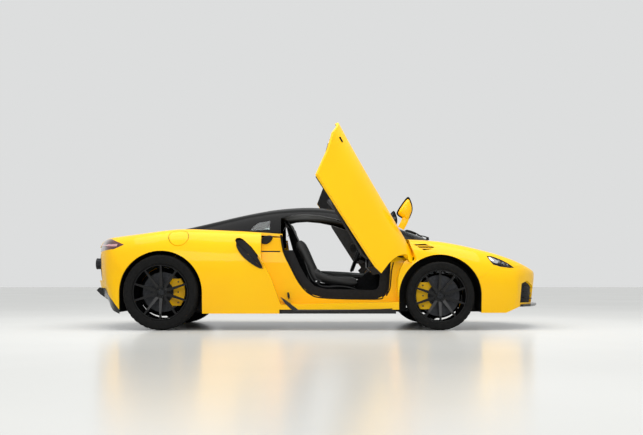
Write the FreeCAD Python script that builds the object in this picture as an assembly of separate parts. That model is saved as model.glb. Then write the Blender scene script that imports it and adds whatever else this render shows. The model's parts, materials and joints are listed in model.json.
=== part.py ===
"""Two-seat mid-engined coupe car with upswinging doors, at full size.

X points to the nose, Y to the car's left and Z up. The origin is on the floor
under the middle of the car. All lengths are in millimetres.
"""
import FreeCAD
import Part
import math
import os

V = FreeCAD.Vector

# Overall size
LENGTH = 4539.0
WIDTH = 1913.0
HEIGHT = 1205.0
WHEELBASE = 2640.0
FRONT_OVERHANG = 1095.0
HALF_LENGTH = LENGTH / 2
HALF_WIDTH = WIDTH / 2
FRONT_X = HALF_LENGTH - FRONT_OVERHANG
REAR_X = FRONT_X - WHEELBASE

# Running gaps and walls
PANEL_GAP = 5.5
SEAT_GAP = 0.3
SEAM = 0.8
OVERRUN = 40.0
PANEL_WALL = 24.0
ROOF_WALL = 32.0
GLASS_WALL = 6.0

# Wheels and tyres
FRONT_TRACK = 1650.0
REAR_TRACK = 1613.0
FRONT_TYRE_RADIUS = 323.5
REAR_TYRE_RADIUS = 357.0
FRONT_TYRE_WIDTH = 235.0
REAR_TYRE_WIDTH = 295.0
FRONT_RIM_RADIUS = 246.0
REAR_RIM_RADIUS = 260.0
FRONT_ARCH_RADIUS = 390.0
REAR_ARCH_RADIUS = 392.0

# Body skin, one row of points for each cross section from the tail to the nose.
# A point is (length share from the middle, half width share, height share), and
# a row runs from the centre line over the fender crown down to the lower edge.
HULL_FOOT_SHARE = 0.108
hull_shares = (
    # tail foot
    ((-0.463, 0.000, 0.108), (-0.452, 0.418, 0.108), (-0.434, 0.680, 0.108),
     (-0.427, 0.836, 0.108), (-0.418, 0.904, 0.108), (-0.409, 0.936, 0.108), (-0.395, 0.930, 0.108)),
    # tail low
    ((-0.482, 0.000, 0.274), (-0.469, 0.418, 0.274), (-0.445, 0.711, 0.274),
     (-0.437, 0.849, 0.261), (-0.426, 0.925, 0.241), (-0.411, 0.957, 0.178), (-0.386, 0.938, 0.108)),
    # tail middle
    ((-0.495, 0.000, 0.473), (-0.480, 0.418, 0.473), (-0.454, 0.732, 0.465),
     (-0.443, 0.863, 0.436), (-0.428, 0.941, 0.373), (-0.404, 0.972, 0.249), (-0.372, 0.941, 0.108)),
    # tail edge
    ((-0.488, 0.000, 0.693), (-0.474, 0.418, 0.693), (-0.452, 0.721, 0.682),
     (-0.440, 0.849, 0.631), (-0.422, 0.946, 0.531), (-0.397, 0.983, 0.349), (-0.361, 0.943, 0.108)),
    # deck rear
    ((-0.443, 0.000, 0.730), (-0.440, 0.439, 0.732), (-0.425, 0.753, 0.732),
     (-0.416, 0.894, 0.668), (-0.403, 0.974, 0.531), (-0.386, 0.991, 0.349), (-0.350, 0.944, 0.108)),
    # deck
    ((-0.361, 0.000, 0.751), (-0.361, 0.439, 0.757), (-0.361, 0.768, 0.767),
     (-0.361, 0.925, 0.705), (-0.357, 0.996, 0.548), (-0.350, 0.995, 0.357), (-0.326, 0.944, 0.108)),
    # haunch
    ((-0.293, 0.000, 0.772), (-0.293, 0.439, 0.784), (-0.293, 0.758, 0.802),
     (-0.293, 0.928, 0.739), (-0.293, 0.999, 0.556), (-0.293, 0.996, 0.365), (-0.284, 0.943, 0.108)),
    # intake
    ((-0.223, 0.000, 0.772), (-0.223, 0.439, 0.780), (-0.223, 0.742, 0.793),
     (-0.223, 0.901, 0.739), (-0.223, 0.991, 0.556), (-0.223, 0.987, 0.365), (-0.220, 0.941, 0.108)),
    # door rear
    ((-0.141, 0.000, 0.763), (-0.141, 0.439, 0.772), (-0.141, 0.742, 0.780),
     (-0.141, 0.880, 0.730), (-0.141, 0.974, 0.548), (-0.141, 0.966, 0.357), (-0.141, 0.941, 0.108)),
    # door waist
    ((-0.048, 0.000, 0.747), (-0.048, 0.439, 0.751), (-0.048, 0.748, 0.754),
     (-0.048, 0.870, 0.715), (-0.048, 0.962, 0.539), (-0.048, 0.947, 0.349), (-0.048, 0.949, 0.108)),
    # door middle
    ((0.053, 0.000, 0.734), (0.053, 0.439, 0.739), (0.053, 0.753, 0.739),
     (0.053, 0.868, 0.707), (0.053, 0.959, 0.535), (0.053, 0.943, 0.340), (0.053, 0.949, 0.108)),
    # door front
    ((0.145, 0.000, 0.730), (0.145, 0.439, 0.730), (0.145, 0.763, 0.727),
     (0.145, 0.878, 0.695), (0.145, 0.968, 0.531), (0.145, 0.956, 0.340), (0.145, 0.943, 0.108)),
    # fender rear
    ((0.212, 0.000, 0.724), (0.212, 0.439, 0.719), (0.212, 0.779, 0.710),
     (0.212, 0.897, 0.664), (0.212, 0.981, 0.523), (0.212, 0.976, 0.340), (0.212, 0.938, 0.108)),
    # front axle
    ((0.264, 0.000, 0.705), (0.264, 0.439, 0.699), (0.264, 0.779, 0.699),
     (0.264, 0.907, 0.641), (0.264, 0.991, 0.506), (0.264, 0.985, 0.340), (0.260, 0.936, 0.108)),
    # fender
    ((0.326, 0.000, 0.654), (0.326, 0.439, 0.647), (0.326, 0.763, 0.657),
     (0.326, 0.905, 0.591), (0.326, 0.986, 0.473), (0.326, 0.981, 0.324), (0.317, 0.928, 0.108)),
    # bonnet
    ((0.392, 0.000, 0.585), (0.390, 0.439, 0.579), (0.383, 0.737, 0.604),
     (0.377, 0.883, 0.544), (0.372, 0.962, 0.440), (0.370, 0.964, 0.307), (0.366, 0.912, 0.108)),
    # bonnet edge
    ((0.447, 0.000, 0.524), (0.444, 0.439, 0.516), (0.429, 0.706, 0.541),
     (0.415, 0.845, 0.498), (0.405, 0.920, 0.415), (0.400, 0.933, 0.295), (0.393, 0.889, 0.108)),
    # nose
    ((0.486, 0.000, 0.465), (0.479, 0.429, 0.455), (0.455, 0.685, 0.455),
     (0.437, 0.810, 0.432), (0.424, 0.876, 0.378), (0.419, 0.894, 0.274), (0.412, 0.859, 0.108)),
    # front face
    ((0.485, 0.000, 0.365), (0.478, 0.423, 0.357), (0.455, 0.669, 0.344),
     (0.438, 0.786, 0.320), (0.427, 0.845, 0.282), (0.423, 0.859, 0.216), (0.416, 0.831, 0.108)),
    # front foot
    ((0.474, 0.000, 0.108), (0.469, 0.418, 0.108), (0.453, 0.643, 0.108),
     (0.438, 0.755, 0.108), (0.430, 0.800, 0.108), (0.423, 0.818, 0.108), (0.417, 0.810, 0.108)),
)

CUBIC = 3
CORE_SHARE = 0.8

# Cabin skin in the same shares, from the rear deck over the roof to the cowl
CABIN_FOOT_SHARE = 0.581
cabin_shares = (
    # rear foot
    ((-0.375, 0.000, 0.581), (-0.372, 0.261, 0.581), (-0.368, 0.439, 0.581), (-0.364, 0.585, 0.581)),
    # tail of the roof
    ((-0.357, 0.000, 0.739), (-0.353, 0.303, 0.734), (-0.346, 0.491, 0.714), (-0.344, 0.638, 0.581)),
    # engine cover
    ((-0.293, 0.000, 0.798), (-0.293, 0.355, 0.795), (-0.293, 0.570, 0.768), (-0.293, 0.732, 0.581)),
    # buttress
    ((-0.220, 0.000, 0.871), (-0.220, 0.418, 0.863), (-0.220, 0.627, 0.809), (-0.220, 0.789, 0.581)),
    # rear window
    ((-0.154, 0.000, 0.936), (-0.154, 0.470, 0.920), (-0.154, 0.669, 0.838), (-0.154, 0.826, 0.581)),
    # roof rear
    ((-0.088, 0.000, 0.981), (-0.088, 0.502, 0.961), (-0.088, 0.703, 0.855), (-0.088, 0.852, 0.581)),
    # roof
    ((-0.022, 0.000, 1.000), (-0.022, 0.512, 0.976), (-0.022, 0.711, 0.861), (-0.022, 0.859, 0.581)),
    # roof front
    ((0.037, 0.000, 0.989), (0.036, 0.507, 0.964), (0.035, 0.706, 0.853), (0.037, 0.859, 0.581)),
    # screen top
    ((0.104, 0.000, 0.934), (0.098, 0.502, 0.913), (0.093, 0.695, 0.826), (0.097, 0.852, 0.581)),
    # screen
    ((0.172, 0.000, 0.855), (0.159, 0.507, 0.838), (0.152, 0.695, 0.780), (0.154, 0.842, 0.581)),
    # screen foot
    ((0.238, 0.000, 0.759), (0.218, 0.512, 0.751), (0.205, 0.695, 0.720), (0.203, 0.826, 0.581)),
    # cowl
    ((0.278, 0.000, 0.680), (0.256, 0.502, 0.674), (0.238, 0.669, 0.656), (0.229, 0.784, 0.581)),
    # front foot
    ((0.291, 0.000, 0.581), (0.271, 0.470, 0.581), (0.253, 0.638, 0.581), (0.245, 0.732, 0.581)),
)


def share_point(share):
    """A point of the car from its shares of length, half width and height."""
    return V(share[0] * LENGTH, share[1] * HALF_WIDTH, share[2] * HEIGHT)


def skin_rows(shares):
    """Rows of points across the whole width, right side first."""
    rows = []
    for station in shares:
        half = [share_point(share) for share in station]
        right = [V(p.x, -p.y, p.z) for p in reversed(half[1:])]
        rows.append(right + half)
    return rows


def clamped_knots(count):
    """Even knots with their counts, for a cubic through a row of poles."""
    spans = count - CUBIC
    return [float(k) for k in range(spans + 1)], [CUBIC + 1] + [1] * (spans - 1) + [CUBIC + 1]


def pole_places(count):
    """The parameter where each pole pulls most."""
    knots, counts = clamped_knots(count)
    flat = [knot for knot, many in zip(knots, counts) for _ in range(many)]
    return [sum(flat[i + 1:i + 1 + CUBIC]) / CUBIC for i in range(count)]


def surface_from(poles):
    """The cubic surface that a grid of poles pulls to."""
    u_knots, u_counts = clamped_knots(len(poles))
    v_knots, v_counts = clamped_knots(len(poles[0]))
    surface = Part.BSplineSurface()
    surface.buildFromPolesMultsKnots(
        poles, u_counts, v_counts, u_knots, v_knots, False, False, CUBIC, CUBIC)
    return surface


def fitted_poles(rows):
    """Poles for a smooth surface that stays close to every point of a grid."""
    surface = surface_from(rows)
    return [[point + point - surface.value(u, v) for point, v in zip(row, pole_places(len(row)))]
            for row, u in zip(rows, pole_places(len(rows)))]


def inset_poles(poles, depth, foot_drop):
    """Poles moved inwards by depth, those of the level rim also dropped."""
    surface = surface_from(poles)
    u_places = pole_places(len(poles))
    v_places = pole_places(len(poles[0]))
    inset = []
    for i, u in enumerate(u_places):
        new_row = []
        for j, v in enumerate(v_places):
            point = surface.value(u, v)
            along, across = surface.tangent(u, v)
            if j in (0, len(v_places) - 1):
                normal = V(along.y, -along.x, 0)
            elif i in (0, len(u_places) - 1):
                normal = V(across.y, -across.x, 0)
            else:
                normal = along.cross(across)
            normal.normalize()
            core = V(point.x * CORE_SHARE, 0, poles[0][0].z * (1 + CORE_SHARE) / 2)
            if normal.dot(point - core) < 0:
                normal = -normal
            on_rim = i in (0, len(u_places) - 1) or j in (0, len(v_places) - 1)
            drop = foot_drop if on_rim else 0
            new_row.append(poles[i][j] - normal * depth - V(0, 0, drop))
        inset.append(new_row)
    return inset


def closed_solid(poles):
    """The space under a skin whose rim is level."""
    skin = surface_from(poles).toShape()
    rim = Part.Wire(Part.__sortEdges__(skin.Edges))
    solid = Part.Solid(Part.Shell([skin.Faces[0], Part.Face(rim)]))
    if solid.Volume < 0:
        solid.reverse()
    return solid


def polygon_face(points):
    """A flat face inside straight edges."""
    return Part.Face(Part.makePolygon(list(points) + [points[0]]))


def grown_face(face, margin):
    """A flat face with its outline moved out by a margin."""
    if margin == 0:
        return face
    return face.makeOffset2D(margin)


def side_prism(outline, y_low, y_high, margin=0):
    """An outline of (x, z) points extended across the car."""
    face = polygon_face([V(x, y_low, z) for x, z in outline])
    return grown_face(face, margin).extrude(V(0, y_high - y_low, 0))


def plan_prism(outline, z_low, z_high, margin=0):
    """An outline of (x, y) points extended upwards."""
    face = polygon_face([V(x, y, z_low) for x, y in outline])
    return grown_face(face, margin).extrude(V(0, 0, z_high - z_low))


def cross_prism(outline, x_low, x_high, margin=0):
    """An outline of (y, z) points extended along the car."""
    face = polygon_face([V(x_low, y, z) for y, z in outline])
    return grown_face(face, margin).extrude(V(x_high - x_low, 0, 0))


def block(x_low, x_high, y_low, y_high, z_low, z_high):
    """A box between two corners."""
    return Part.makeBox(x_high - x_low, y_high - y_low, z_high - z_low, V(x_low, y_low, z_low))


def tube(radius, start, end):
    """A round bar from one point to another."""
    run = end - start
    return Part.makeCylinder(radius, run.Length, start, run)


def left_of(shape):
    """The same piece on the other side of the car."""
    return shape.mirror(V(0, 0, 0), V(0, 1, 0))


def pair(shape):
    """A right piece and its mirror image as one shape."""
    return Part.makeCompound([shape, left_of(shape)])


def fused(shapes):
    """Several shapes as one solid."""
    whole = shapes[0]
    if len(shapes) > 1:
        whole = whole.fuse(shapes[1:])
    return whole.removeSplitter()


def largest(shape, count=1):
    """The biggest solids of a result, without slivers."""
    solids = sorted(shape.Solids, key=lambda s: -s.Volume)[:count]
    return solids[0] if count == 1 else Part.makeCompound(solids)


def save(name, shape):
    """Write one named piece."""
    if len(shape.Solids) > 1:
        shape = Part.makeCompound(shape.Solids)
    elif shape.Solids:
        shape = shape.Solids[0]
    shape.exportStep("parts/" + name + ".step")
    pieces[name] = shape


pieces = {}
os.makedirs("parts", exist_ok=True)

# The skins and the walls behind them
hull_poles = fitted_poles(skin_rows(hull_shares))
hull = closed_solid(hull_poles)
hull_inside = closed_solid(inset_poles(hull_poles, PANEL_WALL, OVERRUN))
hull_wall = hull.cut(hull_inside)
cabin_poles = fitted_poles(skin_rows(cabin_shares))
cabin = closed_solid(cabin_poles)
cabin_inside = closed_solid(inset_poles(cabin_poles, ROOF_WALL, OVERRUN))
cabin_wall = cabin.cut(cabin_inside)
glass_inside = closed_solid(inset_poles(cabin_poles, GLASS_WALL, OVERRUN))
glass_wall = cabin.cut(glass_inside)

FAR = LENGTH
TOP = HEIGHT + OVERRUN

# Door hinge: a line that slopes outwards and down through the front edge of the door
HINGE_BACK = 360.0
HINGE_Y = 780.0
HINGE_Z = 800.0
DOOR_ANGLE = 65.4
HINGE_POINT = V(FRONT_X - HINGE_BACK, -HINGE_Y, HINGE_Z)
hinge_direction_shares = (0.404, -0.734, -0.546)
HINGE_AXIS = V(*hinge_direction_shares)
HINGE_AXIS.normalize()
LOBE_TOP_RADIUS = 88.0
LOBE_FOOT_RADIUS = 40.0
LOBE_TOP_REACH = 110.0
LOBE_STRAIGHT = 30.0
LOBE_FOOT_REACH = 190.0
LOBE_END_REACH = 240.0


def hinge_lobe(margin):
    """The space that the front edge of the door turns in, round its hinge line."""
    profile = (
        (0, -LOBE_TOP_REACH - margin),
        (LOBE_TOP_RADIUS + margin, -LOBE_TOP_REACH - margin),
        (LOBE_TOP_RADIUS + margin, LOBE_STRAIGHT),
        (LOBE_FOOT_RADIUS + margin, LOBE_FOOT_REACH),
        (LOBE_FOOT_RADIUS + margin, LOBE_END_REACH + margin),
        (0, LOBE_END_REACH + margin),
    )
    face = polygon_face([V(r, 0, t) for r, t in profile])
    lobe = face.revolve(V(0, 0, 0), V(0, 0, 1), 360)
    turn = FreeCAD.Rotation(V(0, 0, 1), HINGE_AXIS)
    lobe.Placement = FreeCAD.Placement(HINGE_POINT, turn)
    return lobe


def ahead_of_hinge():
    """Everything in front of the plane through the hinge line and across the car."""
    face_normal = HINGE_AXIS.cross(V(0, 1, 0))
    if face_normal.x < 0:
        face_normal = -face_normal
    face_normal.normalize()
    across = face_normal.cross(HINGE_AXIS)
    across.normalize()
    reach = WIDTH
    corners = [HINGE_POINT + HINGE_AXIS * a + across * b
               for a, b in ((-reach, -reach), (reach, -reach), (reach, reach), (-reach, reach))]
    return polygon_face(corners).extrude(face_normal * reach)


# Door outline seen from the side, as places from the front axle and heights
DOOR_TOP = 960.0
door_outline = (
    (FRONT_X - 1695.0, DOOR_TOP),
    (FRONT_X - 1692.0, 678.0),
    (FRONT_X - 1600.0, 501.0),
    (FRONT_X - 1570.0, 419.0),
    (FRONT_X - 1504.0, 246.0),
    (FRONT_X - 396.0, 270.0),
    (FRONT_X - 408.0, 408.0),
    (FRONT_X - 404.0, 490.0),
    (FRONT_X - 386.0, 565.0),
    (FRONT_X - 350.0, 640.0),
    (FRONT_X - 270.0, 716.0),
    (FRONT_X - 240.0, DOOR_TOP),
)
DOOR_INNER_TOP_Y = 737.0
DOOR_INNER_Y = 800.0
DOOR_INNER_BEND_Z = 640.0


def door_space(margin):
    """The space of the closed right door, grown by a margin, also beyond the skin."""
    outline = side_prism(door_outline, -WIDTH, 0, margin)
    inner = (
        (0, 0),
        (-DOOR_INNER_Y + margin, 0),
        (-DOOR_INNER_Y + margin, DOOR_INNER_BEND_Z),
        (-DOOR_INNER_TOP_Y + margin, HEIGHT),
        (0, HEIGHT),
    )
    outline = outline.cut(cross_prism(inner, -FAR, FAR))
    return outline.cut(ahead_of_hinge()).fuse(hinge_lobe(margin))


def opened(shape):
    """A right door piece turned from closed to fully open."""
    moved = shape.copy()
    moved.rotate(HINGE_POINT, HINGE_AXIS, -DOOR_ANGLE)
    return moved


# Hinge pin of each door, held in the foot of the screen pillar
PIN_RADIUS = 12.0
PIN_GAP = 0.5
PIN_DEPTH = 70.0
STUB_RADIUS = 24.0
STUB_LENGTH = 34.0


def hinge_bar(radius, start, end):
    """A bar round the hinge line between two distances along it."""
    return tube(radius, HINGE_POINT + HINGE_AXIS * start, HINGE_POINT + HINGE_AXIS * end)


pin_start = -LOBE_TOP_REACH - STUB_LENGTH
hinge_pin = hinge_bar(STUB_RADIUS, pin_start, -LOBE_TOP_REACH - PIN_GAP).fuse(
    hinge_bar(PIN_RADIUS, pin_start, -LOBE_TOP_REACH + PIN_DEPTH)).removeSplitter()
pin_bore = hinge_bar(PIN_RADIUS + PIN_GAP, pin_start, -LOBE_TOP_REACH + PIN_DEPTH + PIN_GAP)
stub_hole = hinge_bar(STUB_RADIUS + SEAT_GAP, pin_start * 2, -LOBE_TOP_REACH)
save("door_hinges", pair(hinge_pin))

cabin_grown = closed_solid(inset_poles(cabin_poles, -PANEL_GAP, OVERRUN))
right_door_space = door_space(PANEL_GAP)
both_door_spaces = [right_door_space, left_of(right_door_space)]
DOOR_SKIN = 30.0
DOOR_HEM = 62.0
HEM_FRONT_X = FRONT_X - 480.0
behind_skin = closed_solid(inset_poles(hull_poles, DOOR_SKIN, OVERRUN))
hem = side_prism(door_outline, -WIDTH, 0, PANEL_GAP).cut([
    side_prism(door_outline, -WIDTH, 0, -DOOR_HEM), block(HEM_FRONT_X, FAR, -WIDTH, 0, 0, TOP)])
door_closed = hull.common(door_space(0)).cut(cabin_grown).cut(hem.common(behind_skin))
door_closed = largest(door_closed.cut(pin_bore))
save("door_right", opened(door_closed))
save("door_left", left_of(opened(door_closed)))

# Wheel arches and the liners in them
ARCH_INNER_Y = 535.0
REAR_ARCH_INNER_Y = 600.0
LINER_WALL = 4.0
LINER_RIM = 100.0


def arch_space(x, z, radius, inner_y):
    """The round space over one right wheel, open downwards."""
    drum = Part.makeCylinder(radius, WIDTH - inner_y, V(x, -inner_y, z), V(0, -1, 0))
    return drum.fuse(block(x - radius, x + radius, -WIDTH, -inner_y, -HEIGHT, z))


front_space = arch_space(FRONT_X, FRONT_TYRE_RADIUS, FRONT_ARCH_RADIUS, ARCH_INNER_Y)
rear_space = arch_space(REAR_X, REAR_TYRE_RADIUS, REAR_ARCH_RADIUS, REAR_ARCH_INNER_Y)
arch_spaces = [front_space, left_of(front_space), rear_space, left_of(rear_space)]


def liner(x, z, radius, inner_y):
    """The thin lining of one arch, with its inner wall open round the suspension."""
    outside = arch_space(x, z, radius, inner_y)
    inside = arch_space(x, z, radius - LINER_WALL, inner_y + LINER_WALL)
    window = arch_space(x, z, radius - LINER_RIM, inner_y - OVERRUN)
    foot = hull_poles[0][0].z + OVERRUN
    return largest(outside.cut([inside, window, cabin]).common(hull_inside).common(
        block(-FAR, FAR, -WIDTH, WIDTH, foot, HEIGHT)))


# Underline of the body: the nose rises to the splitter and the tail to the diffuser
NOSE_FOOT_Z = 162.0
NOSE_TIP_Z = 240.0
underline_front = (
    (FRONT_X + 300.0, 0), (FRONT_X + 300.0, NOSE_FOOT_Z), (FRONT_X + 630.0, NOSE_FOOT_Z),
    (FRONT_X + 824.0, NOSE_TIP_Z), (FAR, NOSE_TIP_Z), (FAR, 0),
)
underline_rear = (
    (REAR_X - 340.0, 0), (REAR_X - 340.0, 156.0), (REAR_X - 395.0, 200.0), (REAR_X - 456.0, 275.0),
    (REAR_X - 533.0, 357.0), (REAR_X - 582.0, 395.0), (-FAR, 395.0), (-FAR, 0),
)
diffuser_line = (
    (REAR_X - 350.0, 152.0), (REAR_X - 395.0, 196.0), (REAR_X - 456.0, 271.0),
    (REAR_X - 533.0, 353.0), (REAR_X - 582.0, 391.0), (-FAR, 391.0), (-FAR, 300.0),
    (REAR_X - 582.0, 300.0), (REAR_X - 524.0, 255.0), (REAR_X - 456.0, 183.0), (REAR_X - 380.0, 150.0),
)
SILL_FOOT_Z = 194.0
SILL_REAR_X = FRONT_X - 1520.0
SILL_FRONT_X = FRONT_X - 380.0
QUARTER_FOOT_Z = 156.0

# Side split lines: bumper under fender, and fender behind the door
bumper_top = (
    (FRONT_X + 350.0, 470.0), (FRONT_X + 475.0, 572.0), (FRONT_X + 640.0, 585.0),
    (FRONT_X + 800.0, 606.0), (FRONT_X + 900.0, 640.0), (FAR, 800.0),
)
bumper_region = side_prism(
    ((FRONT_X, 0), (FRONT_X, 470.0)) + bumper_top + ((FAR, 0),), -WIDTH, WIDTH)

# Bonnet outline from above, half of it, and its hinge line
BONNET_REAR_X = FRONT_X + 175.0
BONNET_FRONT_X = FRONT_X + 870.0
BONNET_REAR_Y = 520.0
BONNET_FRONT_Y = 350.0
BONNET_SIDE_X = FRONT_X + 600.0
BONNET_SIDE_Y = 500.0
bonnet_outline = (
    (BONNET_REAR_X, -BONNET_REAR_Y), (BONNET_SIDE_X, -BONNET_SIDE_Y), (BONNET_FRONT_X, -BONNET_FRONT_Y),
    (BONNET_FRONT_X, BONNET_FRONT_Y), (BONNET_SIDE_X, BONNET_SIDE_Y), (BONNET_REAR_X, BONNET_REAR_Y),
)

# Lamps seen from the side
headlamp_outline = (
    (FRONT_X + 453.0, 701.0), (FRONT_X + 505.0, 701.0), (FRONT_X + 582.0, 673.0),
    (FRONT_X + 658.0, 634.0), (FRONT_X + 722.0, 590.0), (FRONT_X + 680.0, 586.0),
    (FRONT_X + 582.0, 596.0), (FRONT_X + 505.0, 618.0), (FRONT_X + 478.0, 656.0),
)
rear_lamp_outline = (
    (REAR_X - 700.0, 859.0), (REAR_X - 520.0, 872.0), (REAR_X - 360.0, 808.0),
    (REAR_X - 455.0, 766.0), (REAR_X - 700.0, 743.0),
)
LAMP_INNER_Y = 560.0

# Side aperture and the windows
door_aperture = (
    (FRONT_X - 1512.0, TOP - OVERRUN), (FRONT_X - 1511.0, 904.0), (FRONT_X - 1482.0, 741.0),
    (FRONT_X - 1405.0, 568.0), (FRONT_X - 1329.0, 434.0), (FRONT_X - 1233.0, 338.0),
    (FRONT_X - 1089.0, 300.0), (FRONT_X - 600.0, 290.0), (FRONT_X - 530.0, 318.0),
    (FRONT_X - 486.0, 380.0), (FRONT_X - 474.0, 470.0), (FRONT_X - 466.0, 616.0),
    (FRONT_X - 460.0, TOP - OVERRUN),
)
side_window = (
    (FRONT_X - 1519.0, 600.0), (FRONT_X - 1519.0, 1080.0), (FRONT_X - 1400.0, 1110.0),
    (FRONT_X - 1284.0, 1117.0), (FRONT_X - 1136.0, 1104.0), (FRONT_X - 990.0, 1074.0),
    (FRONT_X - 790.0, 1010.0), (FRONT_X - 560.0, 935.0), (FRONT_X - 355.0, 876.0),
    (FRONT_X - 340.0, 600.0),
)
quarter_window = (
    (FRONT_X - 1822.0, 953.0), (FRONT_X - 1744.0, 1031.0),
    (FRONT_X - 1626.0, 1051.0), (FRONT_X - 1626.0, 963.0),
)
windscreen_outline = (
    (FRONT_X - 950.0, -490.0), (FRONT_X - 535.0, -555.0), (FRONT_X - 225.0, -590.0),
    (FRONT_X - 60.0, -430.0), (FRONT_X + 0.0, 0.0), (FRONT_X - 60.0, 430.0),
    (FRONT_X - 225.0, 590.0), (FRONT_X - 535.0, 555.0), (FRONT_X - 950.0, 490.0),
)
roof_outline = (
    (REAR_X + 950.0, -430.0), (FRONT_X - 1000.0, -455.0), (FRONT_X - 1000.0, 455.0),
    (REAR_X + 950.0, 430.0),
)
rear_window_outline = (
    (REAR_X + 620.0, -320.0), (REAR_X + 900.0, -350.0), (REAR_X + 900.0, 350.0), (REAR_X + 620.0, 320.0),
)
ENGINE_COVER_X = REAR_X + 580.0
SCREEN_SEAT = 0.5

windscreen_prism = plan_prism(windscreen_outline, 0, TOP)
roof_prism = plan_prism(roof_outline, 0, TOP)
rear_window_prism = plan_prism(rear_window_outline, 0, TOP)
quarter_prism = side_prism(quarter_window, -WIDTH, WIDTH)
side_window_prism = side_prism(side_window, -WIDTH, WIDTH)
BELT_Z = HEIGHT * CABIN_FOOT_SHARE + OVERRUN
above_belt = block(-FAR, FAR, -WIDTH, WIDTH, BELT_Z, TOP)
ahead_of_screen = block(FRONT_X - 210.0, FAR, -WIDTH, WIDTH, 0, TOP)
behind_cabin = block(-FAR, ENGINE_COVER_X, -WIDTH, WIDTH, 0, TOP)

cabin_upper = cabin_wall.common(above_belt)
roof_panel = cabin_upper.common(roof_prism)
save("roof_panel", largest(roof_panel))
scuttle_region = ahead_of_screen.cut(plan_prism(windscreen_outline, 0, TOP, SCREEN_SEAT))
save("scuttle", largest(cabin_upper.common(scuttle_region)))
save("engine_cover", largest(cabin_upper.common(behind_cabin)))

frame = cabin_upper.cut([
    plan_prism(windscreen_outline, 0, TOP, SCREEN_SEAT),
    plan_prism(roof_outline, 0, TOP, SCREEN_SEAT),
    plan_prism(rear_window_outline, 0, TOP, SCREEN_SEAT),
    side_prism(quarter_window, -WIDTH, WIDTH, SCREEN_SEAT),
    side_window_prism, behind_cabin, ahead_of_screen, stub_hole, left_of(stub_hole),
] + both_door_spaces)
save("cabin_frame", largest(frame))
glass_upper = glass_wall.common(above_belt)
save("windscreen", largest(glass_upper.common(windscreen_prism)))
rear_glass = largest(glass_upper.common(rear_window_prism))
quarter_glass = largest(glass_upper.common(quarter_prism), 2)
save("rear_windows", Part.makeCompound([rear_glass] + quarter_glass.Solids))

# Outer panels cut from the hull wall
lower_edges = [
    side_prism(underline_front, -WIDTH, WIDTH),
    side_prism(underline_rear, -WIDTH, WIDTH),
    block(SILL_REAR_X, FRONT_X, -WIDTH, WIDTH, 0, SILL_FOOT_Z),
    block(REAR_X, SILL_REAR_X, -WIDTH, WIDTH, 0, QUARTER_FOOT_Z),
]
panels = hull_wall.cut(lower_edges + [cabin] + arch_spaces + both_door_spaces)

headlamp_prism = side_prism(headlamp_outline, -WIDTH, -LAMP_INNER_Y)
rear_lamp_prism = side_prism(rear_lamp_outline, -WIDTH, -LAMP_INNER_Y)
lamp_prisms = [headlamp_prism, left_of(headlamp_prism), rear_lamp_prism, left_of(rear_lamp_prism)]
save("headlamps", pair(largest(panels.common(headlamp_prism))))
save("rear_lamps", pair(largest(panels.common(rear_lamp_prism))))
panels_open = panels.cut(lamp_prisms)

front_half = block(FRONT_X - 400.0, FAR, -WIDTH, WIDTH, 0, TOP)
front_skin = panels_open.common(front_half)
bonnet_hole = plan_prism(bonnet_outline, 0, TOP, PANEL_GAP)
bonnet_panel = largest(hull_wall.common(plan_prism(bonnet_outline, HEIGHT * HULL_FOOT_SHARE * 2, TOP)))
save("bonnet", bonnet_panel)

# Splitter under the nose
splitter_outline = (
    (FRONT_X + 700.0, -800.0), (FRONT_X + 810.0, -770.0), (FRONT_X + 910.0, -650.0),
    (HALF_LENGTH - 92.0, -420.0), (HALF_LENGTH - 22.0, -180.0), (HALF_LENGTH, 0.0),
    (HALF_LENGTH - 22.0, 180.0), (HALF_LENGTH - 92.0, 420.0), (FRONT_X + 910.0, 650.0),
    (FRONT_X + 810.0, 770.0), (FRONT_X + 700.0, 800.0),
)
SPLITTER_WALL = 22.0
save("splitter", plan_prism(splitter_outline, NOSE_TIP_Z - SPLITTER_WALL, NOSE_TIP_Z))
splitter_seat = plan_prism(splitter_outline, 0, NOSE_TIP_Z + SEAT_GAP)

# Openings of the nose
intake_outlines = (
    ((-330.0, 256.0), (330.0, 256.0), (300.0, 345.0), (-300.0, 345.0)),
    ((-785.0, 256.0), (-430.0, 256.0), (-470.0, 400.0), (-700.0, 465.0), (-785.0, 440.0)),
    ((785.0, 256.0), (430.0, 256.0), (470.0, 400.0), (700.0, 465.0), (785.0, 440.0)),
)
intake_prisms = [cross_prism(outline, FRONT_X + 560.0, FAR) for outline in intake_outlines]
bumper = front_skin.common(bumper_region).cut([bonnet_hole, splitter_seat] + intake_prisms)
save("front_bumper", largest(bumper))
fender_region = side_prism(
    ((FRONT_X, 0), (FRONT_X, 470.0)) + bumper_top + ((FAR, 0),), -WIDTH, WIDTH, SEAM)
vent_outline = (
    (FRONT_X - 247.0, 812.0), (FRONT_X - 132.0, 817.0), (FRONT_X - 84.0, 798.0),
    (FRONT_X - 46.0, 783.0), (FRONT_X - 84.0, 764.0), (FRONT_X - 151.0, 755.0),
)
VENT_INNER_Y = 740.0
VENT_FOOT_Z = 770.0
VENT_BLADE = 8.0
VENT_PITCH = 22.0
vent = side_prism(vent_outline, -WIDTH, -VENT_INNER_Y).cut([
    block(-FAR, FAR, -WIDTH, 0, VENT_FOOT_Z + i * VENT_PITCH, VENT_FOOT_Z + i * VENT_PITCH + VENT_BLADE)
    for i in (0, 1)])
fenders = front_skin.cut([fender_region, bonnet_hole, vent, left_of(vent)])
save("front_fenders", largest(fenders))

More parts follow.
